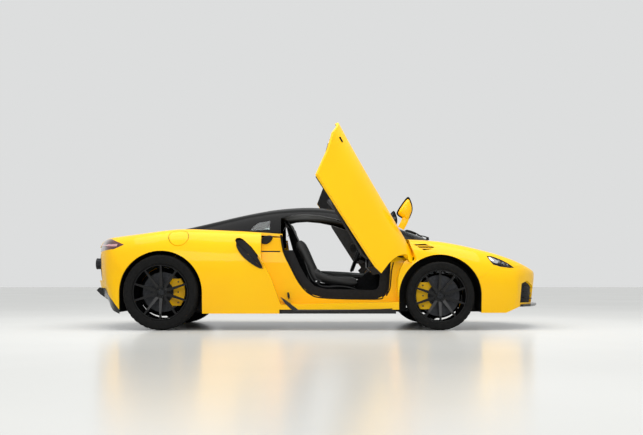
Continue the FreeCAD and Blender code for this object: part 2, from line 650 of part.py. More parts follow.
JAMB_LAND = 34.0
MESH_WALL = 10.0
mesh_outside = closed_solid(inset_poles(hull_poles, PANEL_WALL + SEAT_GAP, OVERRUN))
mesh_inside = closed_solid(inset_poles(hull_poles, PANEL_WALL + MESH_WALL, OVERRUN))
mesh_wall = mesh_outside.cut(mesh_inside)
wide_intakes = [cross_prism(outline, FRONT_X + 560.0, FAR, OVERRUN / 2) for outline in intake_outlines]
meshes = [largest(mesh_wall.common(prism).cut(splitter_seat)) for prism in wide_intakes]


# Rear bodywork in one piece, with its side intakes, mesh opening and fuel flap hole
rear_half = block(-FAR, FRONT_X - 1500.0, -WIDTH, WIDTH, 0, TOP)
MESH_Y = 600.0
mesh_opening = (
    (-MESH_Y, 470.0), (MESH_Y, 470.0), (MESH_Y + 40.0, 640.0), (MESH_Y - 20.0, 800.0),
    (-MESH_Y + 20.0, 800.0), (-MESH_Y - 40.0, 640.0),
)
tail_prism = cross_prism(mesh_opening, -FAR, REAR_X - 560.0)
deck_outline = (
    (REAR_X - 640.0, -470.0), (REAR_X - 60.0, -520.0), (REAR_X - 60.0, 520.0), (REAR_X - 640.0, 470.0),
)
deck_prism = plan_prism(deck_outline, 700.0, TOP)
intake_slot = (
    (FRONT_X - 1945.0, 850.0), (FRONT_X - 1935.0, 870.0), (FRONT_X - 1905.0, 876.0),
    (FRONT_X - 1872.0, 862.0), (FRONT_X - 1790.0, 790.0), (FRONT_X - 1712.0, 692.0),
    (FRONT_X - 1668.0, 610.0), (FRONT_X - 1664.0, 580.0), (FRONT_X - 1682.0, 576.0),
    (FRONT_X - 1738.0, 636.0), (FRONT_X - 1818.0, 716.0), (FRONT_X - 1900.0, 794.0),
    (FRONT_X - 1935.0, 826.0),
)
slot_prism = side_prism(intake_slot, -WIDTH, -700.0)

# Fuel flap, round, on the right haunch
FLAP_RADIUS = 92.0
FLAP_X = REAR_X + 160.0
FLAP_Y = 868.0
FLAP_Z = 866.0
FLAP_SLOPE = 45.0
FLAP_WALL = 12.0
flap_normal = V(0, -math.cos(math.radians(FLAP_SLOPE)), math.sin(math.radians(FLAP_SLOPE)))
flap_centre = V(FLAP_X, -FLAP_Y, FLAP_Z)
flap_bar = Part.makeCylinder(FLAP_RADIUS, 4 * OVERRUN, flap_centre - flap_normal * 2 * OVERRUN, flap_normal)
flap_hole = Part.makeCylinder(
    FLAP_RADIUS + PANEL_GAP, 4 * OVERRUN, flap_centre - flap_normal * 2 * OVERRUN, flap_normal)
flap_inside = closed_solid(inset_poles(hull_poles, FLAP_WALL, OVERRUN))
save("fuel_flap", largest(hull.cut(flap_inside).common(flap_bar)))

# Filler recess behind the flap, with its cap
FILLER_DEPTH = 70.0
FILLER_WALL = 4.0
LEDGE_RADIUS = 78.0
CAP_RADIUS = 38.0
CAP_HEIGHT = 34.0
recess_start = flap_centre - flap_normal * FILLER_DEPTH
recess = Part.makeCylinder(FLAP_RADIUS + PANEL_GAP - SEAT_GAP, FILLER_DEPTH + 2 * OVERRUN, recess_start, flap_normal)
recess_bore = Part.makeCylinder(
    LEDGE_RADIUS, FILLER_DEPTH + 2 * OVERRUN, recess_start + flap_normal * FILLER_WALL, flap_normal)
cap = Part.makeCylinder(CAP_RADIUS, CAP_HEIGHT, recess_start, flap_normal)
under_flap = closed_solid(inset_poles(hull_poles, FLAP_WALL + SEAT_GAP, OVERRUN))
filler = recess.cut(recess_bore).fuse(cap).common(under_flap).removeSplitter()
save("fuel_filler", largest(filler))

clamshell = panels_open.common(rear_half).cut([
    tail_prism, deck_prism, slot_prism, left_of(slot_prism), flap_hole,
])
save("rear_clamshell", largest(clamshell))
tail_mesh = largest(mesh_wall.common(cross_prism(mesh_opening, -FAR, REAR_X - 540.0, OVERRUN / 2)))
save("rear_deck_grille", largest(hull_wall.cut([cabin]).common(
    plan_prism(deck_outline, 700.0, TOP, -SEAT_GAP))))
jamb_prism = side_prism(door_outline, -WIDTH, 0, JAMB_LAND + SEAT_GAP)
side_mesh = largest(mesh_wall.common(side_prism(intake_slot, -WIDTH, -700.0, OVERRUN / 2)).cut(
    [right_door_space, jamb_prism]))
diffuser_skin = hull_wall.cut(arch_spaces).common(side_prism(diffuser_line, -WIDTH, WIDTH))
save("diffuser", largest(diffuser_skin))

# Side sills and the yellow frames round the door apertures
sill_region = block(SILL_REAR_X, SILL_FRONT_X, -WIDTH, -DOOR_INNER_Y, SILL_FOOT_Z, HEIGHT / 4)
middle_skin = panels.common(block(FRONT_X - 1500.0, FRONT_X - 400.0, -WIDTH, 0, 0, HEIGHT / 3))
save("side_sills", pair(largest(middle_skin)))

JAMB_DEPTH = 52.0
JAMB_TOP_Z = 880.0
cabin_seat = closed_solid(inset_poles(cabin_poles, -SEAM, OVERRUN)).cut(
    closed_solid(inset_poles(cabin_poles, ROOF_WALL + SEAM, OVERRUN))).common(
    block(-FAR, FAR, -WIDTH, 0, BELT_Z - SEAT_GAP, TOP))


def jamb():
    """The frame round one door aperture, behind and beside the closed door."""
    outline = side_prism(door_outline, -WIDTH, 0, JAMB_LAND)
    inner = (
        (0, 0),
        (-DOOR_INNER_Y + PANEL_GAP + JAMB_DEPTH, 0),
        (-DOOR_INNER_Y + PANEL_GAP + JAMB_DEPTH, DOOR_INNER_BEND_Z),
        (-DOOR_INNER_TOP_Y + PANEL_GAP + JAMB_DEPTH, HEIGHT),
        (0, HEIGHT),
    )
    ring = outline.common(hull_inside).cut([
        cross_prism(inner, -FAR, FAR), side_prism(door_aperture, -WIDTH, 0),
        block(-FAR, FAR, -WIDTH, 0, 0, SILL_FOOT_Z), block(-FAR, FAR, -WIDTH, 0, JAMB_TOP_Z, HEIGHT),
        arch_space(FRONT_X, FRONT_TYRE_RADIUS, FRONT_ARCH_RADIUS + SEAT_GAP, ARCH_INNER_Y),
        right_door_space, cabin_seat, pieces["cabin_frame"],
    ])
    return largest(ring)


save("door_frames", pair(jamb()))

# Dark trim inside the door apertures, over the sill boxes
SILL_TRIM_WIDTH = 85.0
SILL_TRIM_INNER_Y = 662.0
SILL_TRIM_TOP_Z = 760.0
TUB_SILL_Z = 292.0
trim_outer_y = DOOR_INNER_Y - PANEL_GAP - JAMB_DEPTH - SEAT_GAP
sill_trim = side_prism(door_aperture, -trim_outer_y, -SILL_TRIM_INNER_Y, -SEAT_GAP).cut([
    side_prism(door_aperture, -WIDTH, 0, -SILL_TRIM_WIDTH),
    block(-FAR, FAR, -WIDTH, 0, 0, TUB_SILL_Z + SEAT_GAP),
    block(-FAR, FAR, -WIDTH, 0, SILL_TRIM_TOP_Z, TOP),
])
save("sill_trims", pair(largest(sill_trim)))
front_liner = liner(FRONT_X, FRONT_TYRE_RADIUS, FRONT_ARCH_RADIUS, ARCH_INNER_Y).cut(right_door_space)
rear_liner = liner(REAR_X, REAR_TYRE_RADIUS, REAR_ARCH_RADIUS, REAR_ARCH_INNER_Y)
save("arch_liners", Part.makeCompound([
    largest(front_liner), left_of(largest(front_liner)), rear_liner, left_of(rear_liner)]))

# Inner door panels, seen when the doors are up
TRIM_WALL = 28.0
TRIM_MARGIN = 14.0
TRIM_FLAP = 12.0
TRIM_TOP_Z = 852.0


def door_trim():
    """The padded inner panel of the right door, which fits inside the aperture."""
    outline = side_prism(door_aperture, -WIDTH, 0, -TRIM_MARGIN)
    profile = (
        (-DOOR_INNER_Y, 0), (-DOOR_INNER_Y, DOOR_INNER_BEND_Z), (-DOOR_INNER_TOP_Y, HEIGHT),
        (-DOOR_INNER_TOP_Y + TRIM_WALL, HEIGHT), (-DOOR_INNER_Y + TRIM_WALL, DOOR_INNER_BEND_Z),
        (-DOOR_INNER_Y + TRIM_WALL, 0),
    )
    panel = outline.common(cross_prism(profile, -FAR, FAR))
    panel = panel.cut(block(-FAR, FAR, -WIDTH, 0, TRIM_TOP_Z, HEIGHT * 2))
    return largest(panel.cut(cabin_grown))


trim_closed = door_trim()
save("door_trim_right", opened(trim_closed))
save("door_trim_left", left_of(opened(trim_closed)))

# Mirrors on short arms, one at the front of each door
MIRROR_X = FRONT_X - 672.0
MIRROR_Y = 935.0
MIRROR_Z = 975.0
MIRROR_ARM_REACH = 150.0
MIRROR_LENGTH = 105.0
MIRROR_SPAN = 190.0
MIRROR_RISE = 120.0
MIRROR_ARM_RADIUS = 13.0
MIRROR_FOOT_Y = 815.0


def mirror():
    """The closed right mirror, a tapered housing on a round arm."""
    front = [V(MIRROR_X + MIRROR_LENGTH / 2, -MIRROR_Y + y * MIRROR_SPAN / 3, MIRROR_Z + z * MIRROR_RISE / 3)
             for y, z in ((-1, -1), (1, -1), (1, 1), (-1, 1))]
    back = [V(MIRROR_X - MIRROR_LENGTH / 2, -MIRROR_Y + y * MIRROR_SPAN / 2, MIRROR_Z + z * MIRROR_RISE / 2)
            for y, z in ((-1, -1), (1, -1), (1, 1), (-1, 1))]
    housing = Part.makeLoft([Part.makePolygon(front + [front[0]]), Part.makePolygon(back + [back[0]])], True)
    housing = housing.makeFillet(MIRROR_RISE / 8, housing.Edges)
    arm = tube(MIRROR_ARM_RADIUS, V(MIRROR_X + MIRROR_ARM_REACH, -MIRROR_FOOT_Y, HEIGHT * 0.7),
               V(MIRROR_X, -MIRROR_Y + MIRROR_SPAN / 4, MIRROR_Z - MIRROR_RISE / 4))
    return largest(housing.fuse(arm).removeSplitter().cut(hull))


mirror_closed = mirror()
save("mirror_right", opened(mirror_closed))
save("mirror_left", left_of(opened(mirror_closed)))

# Tub: floor, sill boxes, bulkheads
TUB_FLOOR_Z = 150.0
TUB_WALL = 25.0
TUB_REAR_X = FRONT_X - 1690.0
TUB_FRONT_X = FRONT_X - 405.0
TUB_HALF_WIDTH = 742.0
TUB_SILL_WIDTH = 80.0
BULKHEAD_TOP_Z = 900.0
BULKHEAD_HALF_WIDTH = 690.0
tub = fused([
    block(TUB_REAR_X, TUB_FRONT_X, -TUB_HALF_WIDTH, TUB_HALF_WIDTH, TUB_FLOOR_Z, TUB_FLOOR_Z + TUB_WALL),
    block(TUB_REAR_X, TUB_FRONT_X, -TUB_HALF_WIDTH, -TUB_HALF_WIDTH + TUB_SILL_WIDTH, TUB_FLOOR_Z, TUB_SILL_Z),
    block(TUB_REAR_X, TUB_FRONT_X, TUB_HALF_WIDTH - TUB_SILL_WIDTH, TUB_HALF_WIDTH, TUB_FLOOR_Z, TUB_SILL_Z),
    block(TUB_REAR_X, TUB_REAR_X + TUB_WALL, -BULKHEAD_HALF_WIDTH, BULKHEAD_HALF_WIDTH,
          TUB_FLOOR_Z, BULKHEAD_TOP_Z),
    block(TUB_FRONT_X - TUB_WALL, TUB_FRONT_X, -BULKHEAD_HALF_WIDTH, BULKHEAD_HALF_WIDTH,
          TUB_FLOOR_Z, BULKHEAD_TOP_Z - 60.0),
])
tub = tub.common(hull_inside.fuse(cabin_inside)).cut(both_door_spaces + [cabin_upper])
save("tub", largest(tub))

# Chassis rails that carry the suspension
RAIL_INNER_Y = 300.0
RAIL_OUTER_Y = 360.0
FRONT_RAIL_Z = NOSE_TIP_Z + SEAT_GAP
RAIL_HEIGHT = 90.0
FRONT_RAIL_LENGTH = 1180.0
REAR_RAIL_LENGTH = 1330.0
TOWER_LENGTH = 220.0
TOWER_TOP_Z = 600.0


def chassis(x_low, x_high, axle_x, low_z):
    """Two rails with a damper tower each and a cross member, on both sides of the car."""
    rail = block(x_low, x_high, -RAIL_OUTER_Y, -RAIL_INNER_Y, low_z, low_z + RAIL_HEIGHT)
    tower = block(axle_x - TOWER_LENGTH / 2, axle_x + TOWER_LENGTH / 2, -RAIL_OUTER_Y, -RAIL_INNER_Y,
                  low_z, TOWER_TOP_Z)
    return [rail, tower, left_of(rail), left_of(tower)]


front_cross = block(TUB_FRONT_X + FRONT_RAIL_LENGTH - TUB_SILL_WIDTH, TUB_FRONT_X + FRONT_RAIL_LENGTH,
                    -RAIL_OUTER_Y * 1.5, RAIL_OUTER_Y * 1.5, FRONT_RAIL_Z, FRONT_RAIL_Z + RAIL_HEIGHT)
rear_cross = block(TUB_REAR_X - REAR_RAIL_LENGTH, TUB_REAR_X - REAR_RAIL_LENGTH + TUB_SILL_WIDTH,
                   -RAIL_OUTER_Y * 1.5, RAIL_OUTER_Y * 1.5, FRONT_RAIL_Z, FRONT_RAIL_Z + RAIL_HEIGHT)
front_frame = fused(chassis(
    TUB_FRONT_X, TUB_FRONT_X + FRONT_RAIL_LENGTH, FRONT_X, FRONT_RAIL_Z) + [front_cross])
rear_frame = fused(chassis(
    TUB_REAR_X - REAR_RAIL_LENGTH, TUB_REAR_X, REAR_X, FRONT_RAIL_Z) + [rear_cross])
save("chassis_rails", Part.makeCompound([front_frame, rear_frame]))

# Open luggage bin under the bonnet, on the rails
BIN_REAR_X = FRONT_X + 200.0
BIN_FRONT_X = FRONT_X + 700.0
BIN_HALF_WIDTH = 390.0
BIN_FOOT_Z = FRONT_RAIL_Z + RAIL_HEIGHT + SEAT_GAP
BIN_TOP_Z = 590.0
BIN_WALL = 8.0
bin_outside = block(BIN_REAR_X, BIN_FRONT_X, -BIN_HALF_WIDTH, BIN_HALF_WIDTH, BIN_FOOT_Z, BIN_TOP_Z)
bin_inside = block(BIN_REAR_X + BIN_WALL, BIN_FRONT_X - BIN_WALL, -BIN_HALF_WIDTH + BIN_WALL,
                   BIN_HALF_WIDTH - BIN_WALL, BIN_FOOT_Z + BIN_WALL, HEIGHT)
POST_SIDE = 26.0
post = block(BIN_FRONT_X - POST_SIDE, BIN_FRONT_X, -BIN_HALF_WIDTH, -BIN_HALF_WIDTH + POST_SIDE, BIN_FOOT_Z, HEIGHT)
under_bonnet = hull_inside.copy()
under_bonnet.translate(V(0, 0, -SEAT_GAP * 1.2))
luggage_bin = fused([bin_outside.cut(bin_inside), post, left_of(post)]).common(under_bonnet)
save("luggage_bin", largest(luggage_bin))

# Engine and gearbox as one plain block between the rear rails
ENGINE_FRONT_X = TUB_REAR_X - 300.0
ENGINE_LENGTH = 420.0
ENGINE_TOP_Z = 700.0
GEARBOX_LENGTH = 480.0
GEARBOX_HALF_WIDTH = 170.0
GEARBOX_TOP_Z = 480.0
ENGINE_FOOT_Z = 175.0
save("powertrain", fused([
    block(ENGINE_FRONT_X - ENGINE_LENGTH, ENGINE_FRONT_X, -RAIL_INNER_Y + SEAT_GAP, RAIL_INNER_Y - SEAT_GAP,
          ENGINE_FOOT_Z, ENGINE_TOP_Z),
    block(ENGINE_FRONT_X - ENGINE_LENGTH - GEARBOX_LENGTH, ENGINE_FRONT_X - ENGINE_LENGTH,
          -GEARBOX_HALF_WIDTH, GEARBOX_HALF_WIDTH, ENGINE_FOOT_Z, GEARBOX_TOP_Z),
]))

# Flat trays under the nose and the engine
TRAY_WALL = 6.0
save("undertrays", Part.makeCompound([
    block(TUB_FRONT_X + SEAT_GAP, FRONT_X + 560.0, -500.0, 500.0, NOSE_FOOT_Z, NOSE_FOOT_Z + TRAY_WALL),
    block(REAR_X - 330.0, TUB_REAR_X - SEAT_GAP, -580.0, 580.0, QUARTER_FOOT_Z, QUARTER_FOOT_Z + TRAY_WALL),
]))

# Wheels
SIDEWALL_BULGE = 16.0
SHOULDER_CUT = 24.0
RIM_WALL = 14.0
RIM_LIP = 8.0
SPOKE_COUNT = 10
SPOKE_WIDTH = 17.0
SPOKE_ROOT_WIDTH = 31.0
SPOKE_ROOT_DEPTH = 30.0
HUB_RADIUS = 66.0
HUB_BACK_Y = 20.0
DISC_WALL = 32.0
DISC_BACK_Y = 42.0
DISC_BELL_RADIUS = 84.0
FRONT_DISC_RADIUS = 195.0
REAR_DISC_RADIUS = 190.0
KINGPIN_INSET = 60.0
STEER_ANGLE = 32.0


def spun(profile):
    """A ring from (y, radius) points turned round the Y axis; y grows outwards."""
    face = polygon_face([V(0, -y, r) for y, r in profile])
    return face.revolve(V(0, 0, 0), V(0, 1, 0), 360)


def tyre(radius, width, rim_radius):
    """A tyre with a flat tread and bulging side walls."""
    half = width / 2
    middle = (radius + rim_radius) / 2
    return spun((
        (-half + SIDEWALL_BULGE, rim_radius + SEAT_GAP), (-half, middle), (-half + SHOULDER_CUT, radius),
        (half - SHOULDER_CUT, radius), (half, middle), (half - SIDEWALL_BULGE, rim_radius + SEAT_GAP),
    ))


def rim(width, rim_radius):
    """A barrel with slim tapered spokes and a hub."""
    half = width / 2 - SIDEWALL_BULGE
    barrel = spun((
        (-half, rim_radius), (half, rim_radius), (half, rim_radius - RIM_LIP),
        (-half, rim_radius - RIM_WALL),
    ))
    face_y = half - 10.0
    hub = spun(((HUB_BACK_Y, 0), (face_y - SPOKE_ROOT_DEPTH, 0), (face_y - SPOKE_ROOT_DEPTH, HUB_RADIUS * 0.8),
                (face_y - SPOKE_ROOT_DEPTH * 1.2, HUB_RADIUS), (HUB_BACK_Y, HUB_RADIUS)))
    root = HUB_RADIUS * 0.7
    tip = rim_radius - RIM_LIP
    spoke_profile = (
        (face_y - SPOKE_ROOT_DEPTH * 2.2, root), (face_y - SPOKE_ROOT_DEPTH * 1.1, root),
        (face_y - SPOKE_ROOT_DEPTH * 0.1, tip * 0.8), (face_y, tip), (face_y - SPOKE_ROOT_DEPTH, tip),
    )
    face = polygon_face([V(-SPOKE_ROOT_WIDTH / 2, -y, r) for y, r in spoke_profile])
    taper = polygon_face([
        V(-SPOKE_ROOT_WIDTH / 2, -WIDTH, root), V(-SPOKE_WIDTH / 2, -WIDTH, tip),
        V(SPOKE_WIDTH / 2, -WIDTH, tip), V(SPOKE_ROOT_WIDTH / 2, -WIDTH, root)])
    spoke = face.extrude(V(SPOKE_ROOT_WIDTH, 0, 0)).common(taper.extrude(V(0, 2 * WIDTH, 0)))
    spokes = []
    for i in range(SPOKE_COUNT):
        copy = spoke.copy()
        copy.rotate(V(0, 0, 0), V(0, 1, 0), i * 360 / SPOKE_COUNT)
        spokes.append(copy)
    return fused([barrel, hub] + spokes)


def disc(radius):
    """A brake disc with its bell, which seats on the back of the hub."""
    return spun((
        (-DISC_BACK_Y, 0), (-DISC_BACK_Y, radius), (-DISC_BACK_Y + DISC_WALL, radius),
        (-DISC_BACK_Y + DISC_WALL, DISC_BELL_RADIUS), (HUB_BACK_Y, DISC_BELL_RADIUS), (HUB_BACK_Y, 0),
    ))


CALIPER_CLEARANCE = 5.5
CALIPER_WALL = 20.0
CALIPER_FOOT = 72.0
CALIPER_HALF_HEIGHT = 128.0
CALIPER_DEPTH = 82.0


def caliper(disc_radius, facing):
    """A caliper round one edge of the disc; facing is 1 for the front side, -1 for the rear."""
    outer = disc_radius + CALIPER_CLEARANCE + CALIPER_WALL
    y_out = -DISC_BACK_Y + DISC_WALL + CALIPER_CLEARANCE + CALIPER_WALL
    y_in = -DISC_BACK_Y - CALIPER_CLEARANCE - CALIPER_WALL
    ring = spun(((y_in, disc_radius - CALIPER_DEPTH), (y_out, disc_radius - CALIPER_DEPTH),
                 (y_out, outer), (y_in, outer)))
    slot = spun(((-DISC_BACK_Y - CALIPER_CLEARANCE, 0), (-DISC_BACK_Y + DISC_WALL + CALIPER_CLEARANCE, 0),
                 (-DISC_BACK_Y + DISC_WALL + CALIPER_CLEARANCE, disc_radius + CALIPER_CLEARANCE),
                 (-DISC_BACK_Y - CALIPER_CLEARANCE, disc_radius + CALIPER_CLEARANCE)))
    near, far = sorted((facing * CALIPER_FOOT, facing * outer))
    body = block(near, far, -WIDTH, WIDTH, -CALIPER_HALF_HEIGHT, CALIPER_HALF_HEIGHT)
    return largest(ring.cut(slot).common(body))


UPRIGHT_RISE = 150.0
UPRIGHT_HALF_LENGTH = 34.0
UPRIGHT_BACK_Y = 100.0
HUB_CARRIER_RADIUS = 62.0


def upright(disc_radius, facing):
    """A hub carrier with arms up and down to the ball joints and a bracket to the caliper."""
    carrier = spun(((-UPRIGHT_BACK_Y, 0), (-DISC_BACK_Y - PIN_GAP, 0),
                    (-DISC_BACK_Y - PIN_GAP, HUB_CARRIER_RADIUS), (-UPRIGHT_BACK_Y, HUB_CARRIER_RADIUS)))
    inner_y = DISC_BACK_Y + CALIPER_CLEARANCE + PIN_GAP
    post = block(-UPRIGHT_HALF_LENGTH, UPRIGHT_HALF_LENGTH, inner_y, UPRIGHT_BACK_Y,
                 -UPRIGHT_RISE, UPRIGHT_RISE)
    bracket_y = DISC_BACK_Y + CALIPER_CLEARANCE + CALIPER_WALL
    reach = facing * (disc_radius - CALIPER_DEPTH / 2)
    bracket = block(min(0, reach), max(0, reach), bracket_y, UPRIGHT_BACK_Y,
                    -HUB_CARRIER_RADIUS / 2, HUB_CARRIER_RADIUS / 2)
    return fused([carrier, post, bracket])


def placed(shape, x, y, z):
    """A right-side piece moved to its wheel centre."""
    moved = shape.copy()
    moved.translate(V(x, -y, z))
    return moved


BALL_RADIUS = 12.0
BALL_DROP = 30.0
ARM_RADIUS = 14.0
ARM_SPREAD = 170.0
DAMPER_RADIUS = 27.0
DAMPER_FOOT_INSET = 130.0


def suspension(axle_x, wheel_y, hub_z):
    """Two wishbones and a damper on the right side, one solid from rail to ball joints."""
    pin_y = wheel_y - KINGPIN_INSET
    rail_face = block(-FAR, FAR, -RAIL_OUTER_Y - SEAT_GAP, 0, 0, HEIGHT)
    pieces_here = []
    for side, rail_z in ((-1, FRONT_RAIL_Z + RAIL_HEIGHT / 2), (1, TOWER_TOP_Z - RAIL_HEIGHT / 2)):
        joint_z = hub_z + side * (UPRIGHT_RISE + PIN_GAP)
        boss = Part.makeCylinder(BALL_RADIUS, BALL_DROP, V(axle_x, -pin_y, joint_z), V(0, 0, side))
        end = V(axle_x, -pin_y, joint_z + side * BALL_DROP)
        spread = ARM_SPREAD if side < 0 else TOWER_LENGTH / 2 - ARM_RADIUS * 2
        arms = [tube(ARM_RADIUS, V(axle_x + way * spread, -RAIL_INNER_Y, rail_z), end) for way in (-1, 1)]
        pieces_here.append(largest(fused([boss] + arms).cut(rail_face)))
    low = V(axle_x, -(pin_y - DAMPER_FOOT_INSET), hub_z)
    high = V(axle_x, -RAIL_OUTER_Y, TOWER_TOP_Z - DAMPER_RADIUS)
    pieces_here.append(tube(DAMPER_RADIUS, low, high).cut(rail_face))
    return pieces_here


wheel_sets = (
    ("front", FRONT_X, FRONT_TRACK / 2, FRONT_TYRE_RADIUS, FRONT_TYRE_WIDTH, FRONT_RIM_RADIUS,
     FRONT_DISC_RADIUS, -1),
    ("rear", REAR_X, REAR_TRACK / 2, REAR_TYRE_RADIUS, REAR_TYRE_WIDTH, REAR_RIM_RADIUS,
     REAR_DISC_RADIUS, 1),
)
suspension_pieces = []
for name, x, y, radius, width, rim_radius, disc_radius, facing in wheel_sets:
    right_pieces = {
        "tyre": tyre(radius, width, rim_radius),
        "rim": rim(width, rim_radius),
        "disc": disc(disc_radius),
    }
    for kind, shape in right_pieces.items():
        right = placed(shape, x, y, radius)
        save(kind + "_" + name + "_right", right)
        save(kind + "_" + name + "_left", left_of(right))
    right_upright = placed(upright(disc_radius, facing), x, y, radius)
    right_caliper = placed(caliper(disc_radius, facing), x, y, radius)
    if name == "front":
        save("knuckle_right", right_upright)
        save("knuckle_left", left_of(right_upright))
        save("caliper_front_right", right_caliper)
        save("caliper_front_left", left_of(right_caliper))
    else:
        save("rear_uprights", pair(right_upright))
        save("rear_calipers", pair(right_caliper))
    right_arms = suspension(x, y, radius)
    suspension_pieces += right_arms + [left_of(arm) for arm in right_arms]
save("suspension_arms", Part.makeCompound(suspension_pieces))

# Exhaust tips through the rear mesh
TIP_RADIUS = 56.0
TIP_WALL = 4.0
TIP_Y = 95.0
TIP_Z = 640.0
TIP_LENGTH = 330.0
TIP_END_X = -HALF_LENGTH
tip = Part.makeCylinder(TIP_RADIUS, TIP_LENGTH, V(TIP_END_X, -TIP_Y, TIP_Z), V(1, 0, 0))
tip_bore = Part.makeCylinder(TIP_RADIUS - TIP_WALL, TIP_LENGTH * 2, V(TIP_END_X - TIP_LENGTH, -TIP_Y, TIP_Z), V(1, 0, 0))
save("exhaust_tips", pair(tip.cut(tip_bore)))
tip_hole = Part.makeCylinder(TIP_RADIUS + SEAT_GAP, TIP_LENGTH * 2, V(TIP_END_X - TIP_LENGTH, -TIP_Y, TIP_Z), V(1, 0, 0))
tail_mesh = largest(tail_mesh.cut([tip_hole, left_of(tip_hole)]))
save("intake_meshes", Part.makeCompound(meshes + [tail_mesh, side_mesh, left_of(side_mesh)]))

# Seats, dashboard, console and steering wheel
SEAT_Y = 370.0
SEAT_WIDTH = 430.0
BOLSTER_WIDTH = 85.0
BOLSTER_RISE = 52.0
FLOOR_TOP = TUB_FLOOR_Z + TUB_WALL + SEAT_GAP
seat_outline = (
    (FRONT_X - 745.0, FLOOR_TOP), (FRONT_X - 735.0, 400.0), (FRONT_X - 775.0, 425.0),
    (FRONT_X - 985.0, 375.0), (FRONT_X - 1175.0, 350.0), (FRONT_X - 1235.0, 390.0),
    (FRONT_X - 1370.0, 800.0), (FRONT_X - 1432.0, 1050.0), (FRONT_X - 1460.0, 1082.0),
    (FRONT_X - 1505.0, 1078.0), (FRONT_X - 1520.0, 1030.0), (FRONT_X - 1465.0, 700.0),
    (FRONT_X - 1365.0, 330.0), (FRONT_X - 1300.0, FLOOR_TOP),
)
bolster_outline = (
    (FRONT_X - 765.0, FLOOR_TOP), (FRONT_X - 755.0, 440.0), (FRONT_X - 800.0, 470.0),
    (FRONT_X - 985.0, 430.0), (FRONT_X - 1150.0, 430.0), (FRONT_X - 1215.0, 560.0),
    (FRONT_X - 1290.0, 800.0), (FRONT_X - 1400.0, 900.0), (FRONT_X - 1490.0, 880.0),
    (FRONT_X - 1465.0, 700.0), (FRONT_X - 1365.0, 330.0), (FRONT_X - 1300.0, FLOOR_TOP),
)
SHELL_MARGIN = 10.0
inner_y = -SEAT_Y + SEAT_WIDTH / 2
seat_pieces = [
    side_prism(seat_outline, -SEAT_Y - SEAT_WIDTH / 2 + SHELL_MARGIN, inner_y - SHELL_MARGIN),
    side_prism(bolster_outline, -SEAT_Y - SEAT_WIDTH / 2, -SEAT_Y - SEAT_WIDTH / 2 + BOLSTER_WIDTH),
    side_prism(bolster_outline, inner_y - BOLSTER_WIDTH, inner_y),
]
seat = fused(seat_pieces)
save("seats", pair(seat))

DASH_HALF_WIDTH = 655.0
dash_outline = (
    (TUB_FRONT_X - TUB_WALL - SEAT_GAP, 520.0), (FRONT_X - 560.0, 560.0), (FRONT_X - 620.0, 600.0),
    (FRONT_X - 640.0, 690.0), (FRONT_X - 600.0, 790.0), (FRONT_X - 520.0, 835.0),
    (TUB_FRONT_X - TUB_WALL - SEAT_GAP, 850.0),
)
WHEEL_Y = 370.0
WHEEL_X = FRONT_X - 735.0
WHEEL_Z = 735.0
WHEEL_TILT = 22.0
WHEEL_RADIUS = 172.0
WHEEL_GRIP = 15.0
WHEEL_HUB_RADIUS = 58.0
WHEEL_HUB_DEPTH = 42.0
COLUMN_RADIUS = 30.0
wheel_axis = V(-math.cos(math.radians(WHEEL_TILT)), 0, math.sin(math.radians(WHEEL_TILT)))
wheel_centre = V(WHEEL_X, WHEEL_Y, WHEEL_Z)
dash = side_prism(dash_outline, -DASH_HALF_WIDTH, DASH_HALF_WIDTH)
column = Part.makeCylinder(COLUMN_RADIUS, WHEEL_RADIUS * 1.2,
                           wheel_centre - wheel_axis * (WHEEL_HUB_DEPTH + PIN_GAP), -wheel_axis)
save("dashboard", largest(dash.fuse(column).removeSplitter()))

grip = Part.makeTorus(WHEEL_RADIUS, WHEEL_GRIP, V(0, 0, 0), V(0, 0, 1))
wheel_hub = Part.makeCylinder(WHEEL_HUB_RADIUS, WHEEL_HUB_DEPTH, V(0, 0, -WHEEL_HUB_DEPTH))
arms = []
for turn in (0, 180, 270):
    arm = block(0, WHEEL_RADIUS, -WHEEL_GRIP, WHEEL_GRIP, -WHEEL_GRIP * 1.6, -WHEEL_GRIP * 0.5)
    arm.rotate(V(0, 0, 0), V(0, 0, 1), turn)
    arms.append(arm)
steering = fused([grip, wheel_hub] + arms)
steering.Placement = FreeCAD.Placement(
    wheel_centre, FreeCAD.Rotation(V(0, 1, 0), V(0, 0, 1), wheel_axis, "ZYX"))
save("steering_wheel", steering)

CONSOLE_HALF_WIDTH = 112.0
console_outline = (
    (TUB_REAR_X + TUB_WALL + SEAT_GAP, FLOOR_TOP), (TUB_REAR_X + TUB_WALL + SEAT_GAP, 520.0),
    (FRONT_X - 1400.0, 500.0), (FRONT_X - 1050.0, 430.0), (FRONT_X - 780.0, 450.0),
    (FRONT_X - 640.0, 560.0), (FRONT_X - 575.0, 548.0), (FRONT_X - 520.0, FLOOR_TOP),
)
console = side_prism(console_outline, -CONSOLE_HALF_WIDTH, CONSOLE_HALF_WIDTH).cut(
    side_prism(dash_outline, -WIDTH, WIDTH, SEAT_GAP))
save("console", largest(console))
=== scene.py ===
"""Finishes, fine pieces, light and camera for a two-person coupe with upswinging doors.

The car's own frame: X to the nose, Y to the car's left, Z up. The frame and the stage are in
metres. Build functions work in millimetres, on the right side where a piece comes as a pair.
"""
import bpy
import bmesh
import json
import math
from functools import cache
from mathutils import Matrix, Vector
from mathutils.bvhtree import BVHTree

